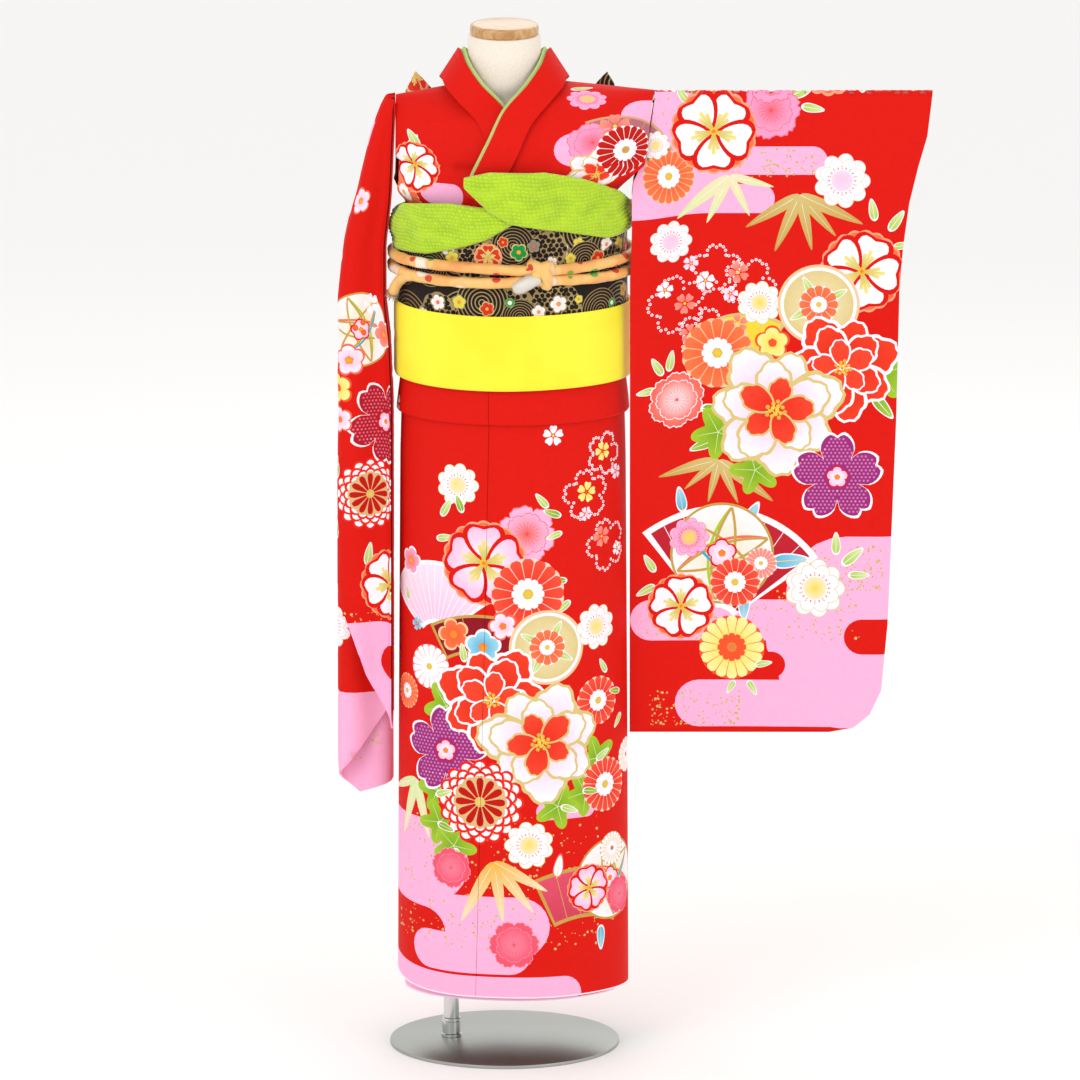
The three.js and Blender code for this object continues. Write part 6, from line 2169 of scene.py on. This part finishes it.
tuft_start, tuft_way = tail_route[-1], (tail_route[-1] - tail_route[-4]).normalized()
tuft_side = tuft_way.cross(Vector((0, 1, 0.2))).normalized()
tuft_tree = bpy.data.node_groups.new("gold_tuft", "GeometryNodeTree")
tuft_sizes = {}
for label, kind, size in (
    ("Strands", "NodeSocketInt", 120), ("Length", "NodeSocketFloat", 15 * MM),
    ("Thickness", "NodeSocketFloat", 0.55 * MM), ("Spread", "NodeSocketFloat", 5 * MM),
    ("Lean", "NodeSocketFloat", 60.0), ("Seed", "NodeSocketInt", 7),
):
    tuft_sizes[tuft_tree.interface.new_socket(label, in_out="INPUT", socket_type=kind).identifier] = size
tuft_tree.interface.new_socket("Geometry", in_out="OUTPUT", socket_type="NodeSocketGeometry")
sizes = node(tuft_tree, "NodeGroupInput").outputs
random_way = node(
    tuft_tree, "FunctionNodeRandomValue", {0: (-1, -1, 0), 1: (1, 1, 0)}, {"Seed": sizes["Seed"]},
    data_type="FLOAT_VECTOR",
)
unit_way = node(tuft_tree, "ShaderNodeVectorMath", links={0: random_way.outputs[0]}, operation="NORMALIZE")
far_out = node(
    tuft_tree, "FunctionNodeRandomValue", {2: 0.0}, {3: sizes["Spread"], "Seed": sizes["Strands"]},
    data_type="FLOAT",
)
place = node(
    tuft_tree, "ShaderNodeVectorMath", links={0: unit_way.outputs[0], "Scale": far_out.outputs[1]},
    operation="SCALE",
)
feet = node(tuft_tree, "GeometryNodePoints", links={"Count": sizes["Strands"], "Position": place.outputs[0]})
strand = node(
    tuft_tree, "GeometryNodeMeshCone", {"Vertices": 4, "Side Segments": 2, "Radius Top": 0.25 * MM},
    {"Radius Bottom": sizes["Thickness"], "Depth": sizes["Length"]},
)
slope = node(
    tuft_tree, "ShaderNodeVectorMath", links={0: node(tuft_tree, "GeometryNodeInputPosition").outputs[0],
                                              "Scale": sizes["Lean"]}, operation="SCALE"
)
aim = node(tuft_tree, "ShaderNodeVectorMath", {1: (0, 0, 1)}, {0: slope.outputs[0]}, operation="ADD")
turned_way = node(tuft_tree, "FunctionNodeAlignRotationToVector", links={"Vector": aim.outputs[0]}, axis="Z")
shorter = node(
    tuft_tree, "FunctionNodeRandomValue", {2: 0.75, 3: 1.0}, {"Seed": sizes["Seed"]}, data_type="FLOAT"
)
strands = node(
    tuft_tree, "GeometryNodeInstanceOnPoints",
    links={"Points": feet.outputs[0], "Instance": strand.outputs["Mesh"], "Rotation": turned_way.outputs[0],
           "Scale": shorter.outputs[1]},
)
plain = node(tuft_tree, "GeometryNodeRealizeInstances", links={"Geometry": strands.outputs["Instances"]})
coated = node(
    tuft_tree, "GeometryNodeSetMaterial", {"Material": tuft_gold}, {"Geometry": plain.outputs["Geometry"]}
)
node(tuft_tree, "NodeGroupOutput", links={"Geometry": coated.outputs["Geometry"]})
tuft_host = bpy.data.objects.new("tuft_host", bpy.data.meshes.new("tuft_host"))
bpy.context.scene.collection.objects.link(tuft_host)
modifier = tuft_host.modifiers.new("gold_tuft", "NODES")
modifier.node_group = tuft_tree
for identifier, size in tuft_sizes.items():
    modifier[identifier] = size
tuft_mesh = bpy.data.meshes.new_from_object(tuft_host.evaluated_get(bpy.context.evaluated_depsgraph_get()))
bpy.data.objects.remove(tuft_host)
tuft_points = []
for vertex in tuft_mesh.vertices:
    across, over, along = vertex.co / MM
    tuft_points.append(
        tuft_start + tuft_side * across + tuft_way.cross(tuft_side) * over + tuft_way * (along - 3)
    )
cord_parts.append(((tuft_points, [tuple(p.vertices) for p in tuft_mesh.polygons]), tuft_gold))
bpy.data.meshes.remove(tuft_mesh)
sash_cord = joined("sash_cord", cord_parts)
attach(sash_cord, "root")
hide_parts("obijime")

# Under-sash: bright yellow crepe folded in a flat band over the sash's lower edge,
# knotted at the back with its two pleated ends hanging.
YELLOW_LOW, YELLOW_HIGH = 779, 864
yellow_crepe, shader = new_material(
    "yellow_satin_crepe", base_color=linear("#F8E614"), roughness=0.5, sheen_weight=0.35,
    sheen_roughness=0.35,
)
spread = ramp(yellow_crepe, noise_on(yellow_crepe, 14.0, 2.0), (0.35, "#F7E61A"), (0.6, "#FFEE28"))
join_socket(yellow_crepe, spread.outputs["Color"], shader, "Base Color")
woven(yellow_crepe, shader, 0.5, 0.35)
band_border = [(s, YELLOW_LOW) for s in np.linspace(SASH_BACK, SASH_BACK + 2 * ROUND_HALF, 90)]
band_border += [(s, YELLOW_HIGH) for s, _ in reversed(band_border)]


def band_place(s, z):
    """Place of the yellow band's cloth: round the body and height."""
    edge = smooth(z, 779, 783) * (1 - smooth(z, 860, 864))
    dip = 0.5 * math.exp(-(((z - 826 - 6 * math.sin(s / 60)) / 5) ** 2))
    x, y, _ = body_point(round_angle(s), 800, SASH_OFFSET + 3 + 1.5 * edge - dip)
    return (x, y, z + 0.8 * math.sin(s / 45))


band = cut_cloth(
    "yellow_band", band_border, list(np.arange(SASH_BACK + 3, SASH_BACK + 2 * ROUND_HALF, 7)),
    list(np.linspace(YELLOW_LOW, YELLOW_HIGH, 30)), [], dyed(YELLOW), band_place,
    [yellow_crepe, yellow_crepe], 2.4,
)
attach(band, "root")
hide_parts("shigoki_wrap")


def tail_grid(sign, columns=36, rows=60, wall=1.0):
    """Points and faces of one pleated hanging end."""
    points, faces = [], []
    for side in (1, -1):
        for j in range(rows + 1):
            for i in range(columns + 1):
                u, v = 2 * i / columns - 1, j / rows
                half = mix(9, 30, smooth(v, 0, 0.35))
                fold = 2.6 * math.cos(3 * math.pi * u) * smooth(v, 0, 0.3)
                back = mix(110.5, 104.5, smooth(v, 0, 0.4))
                points.append((BOW_X + sign * mix(10, 37, smooth(v, 0, 0.4)) + u * half,
                               back + fold + side * wall, mix(818, 505 - sign * 12, v)))
    wide, layer = columns + 1, (columns + 1) * (rows + 1)
    for j in range(rows):
        for i in range(columns):
            a = j * wide + i
            faces += [
                (a, a + 1, a + wide + 1, a + wide),
                (layer + a, layer + a + wide, layer + a + wide + 1, layer + a + 1),
            ]
    edge = [(j * wide, (j + 1) * wide) for j in range(rows)] + [
        (rows * wide + i, rows * wide + i + 1) for i in range(columns)
    ]
    edge += [((j + 1) * wide + columns, j * wide + columns) for j in range(rows)]
    edge += [(i + 1, i) for i in range(columns)]
    faces += [(a, b, layer + b, layer + a) for a, b in edge]
    return points, faces


def knot_ball(x, y, z, rx, ry, rz, sides=40):
    """A soft knot: a ball with creases that run into its middle."""
    points, faces = [(x, y, z + rz)], []
    rows = sides // 2
    for j in range(1, rows):
        lean = math.pi * j / rows
        for k in range(sides):
            turn = 2 * math.pi * k / sides
            crease = 1 - 0.035 * (1 + math.cos(6 * turn + 2 * math.sin(lean * 2))) * math.sin(lean)
            points.append((x + rx * math.sin(lean) * math.cos(turn) * crease,
                           y + ry * math.sin(lean) * math.sin(turn) * crease, z + rz * math.cos(lean)))
    points.append((x, y, z - rz))
    last = len(points) - 1
    for k in range(sides):
        m = (k + 1) % sides
        faces.append((0, 1 + k, 1 + m))
        faces.append((last, last - sides + m, last - sides + k))
    for j in range(rows - 2):
        for k in range(sides):
            m = (k + 1) % sides
            a = 1 + j * sides
            faces.append((a + k, a + sides + k, a + sides + m, a + m))
    return points, faces


band_knot = joined(
    "yellow_knot",
    [(knot_ball(BOW_X, 109.95, 824, 24, 9, 19), yellow_crepe), (tail_grid(1), yellow_crepe),
     (tail_grid(-1), yellow_crepe)],
)
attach(band_knot, "root")
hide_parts("shigoki_knot")
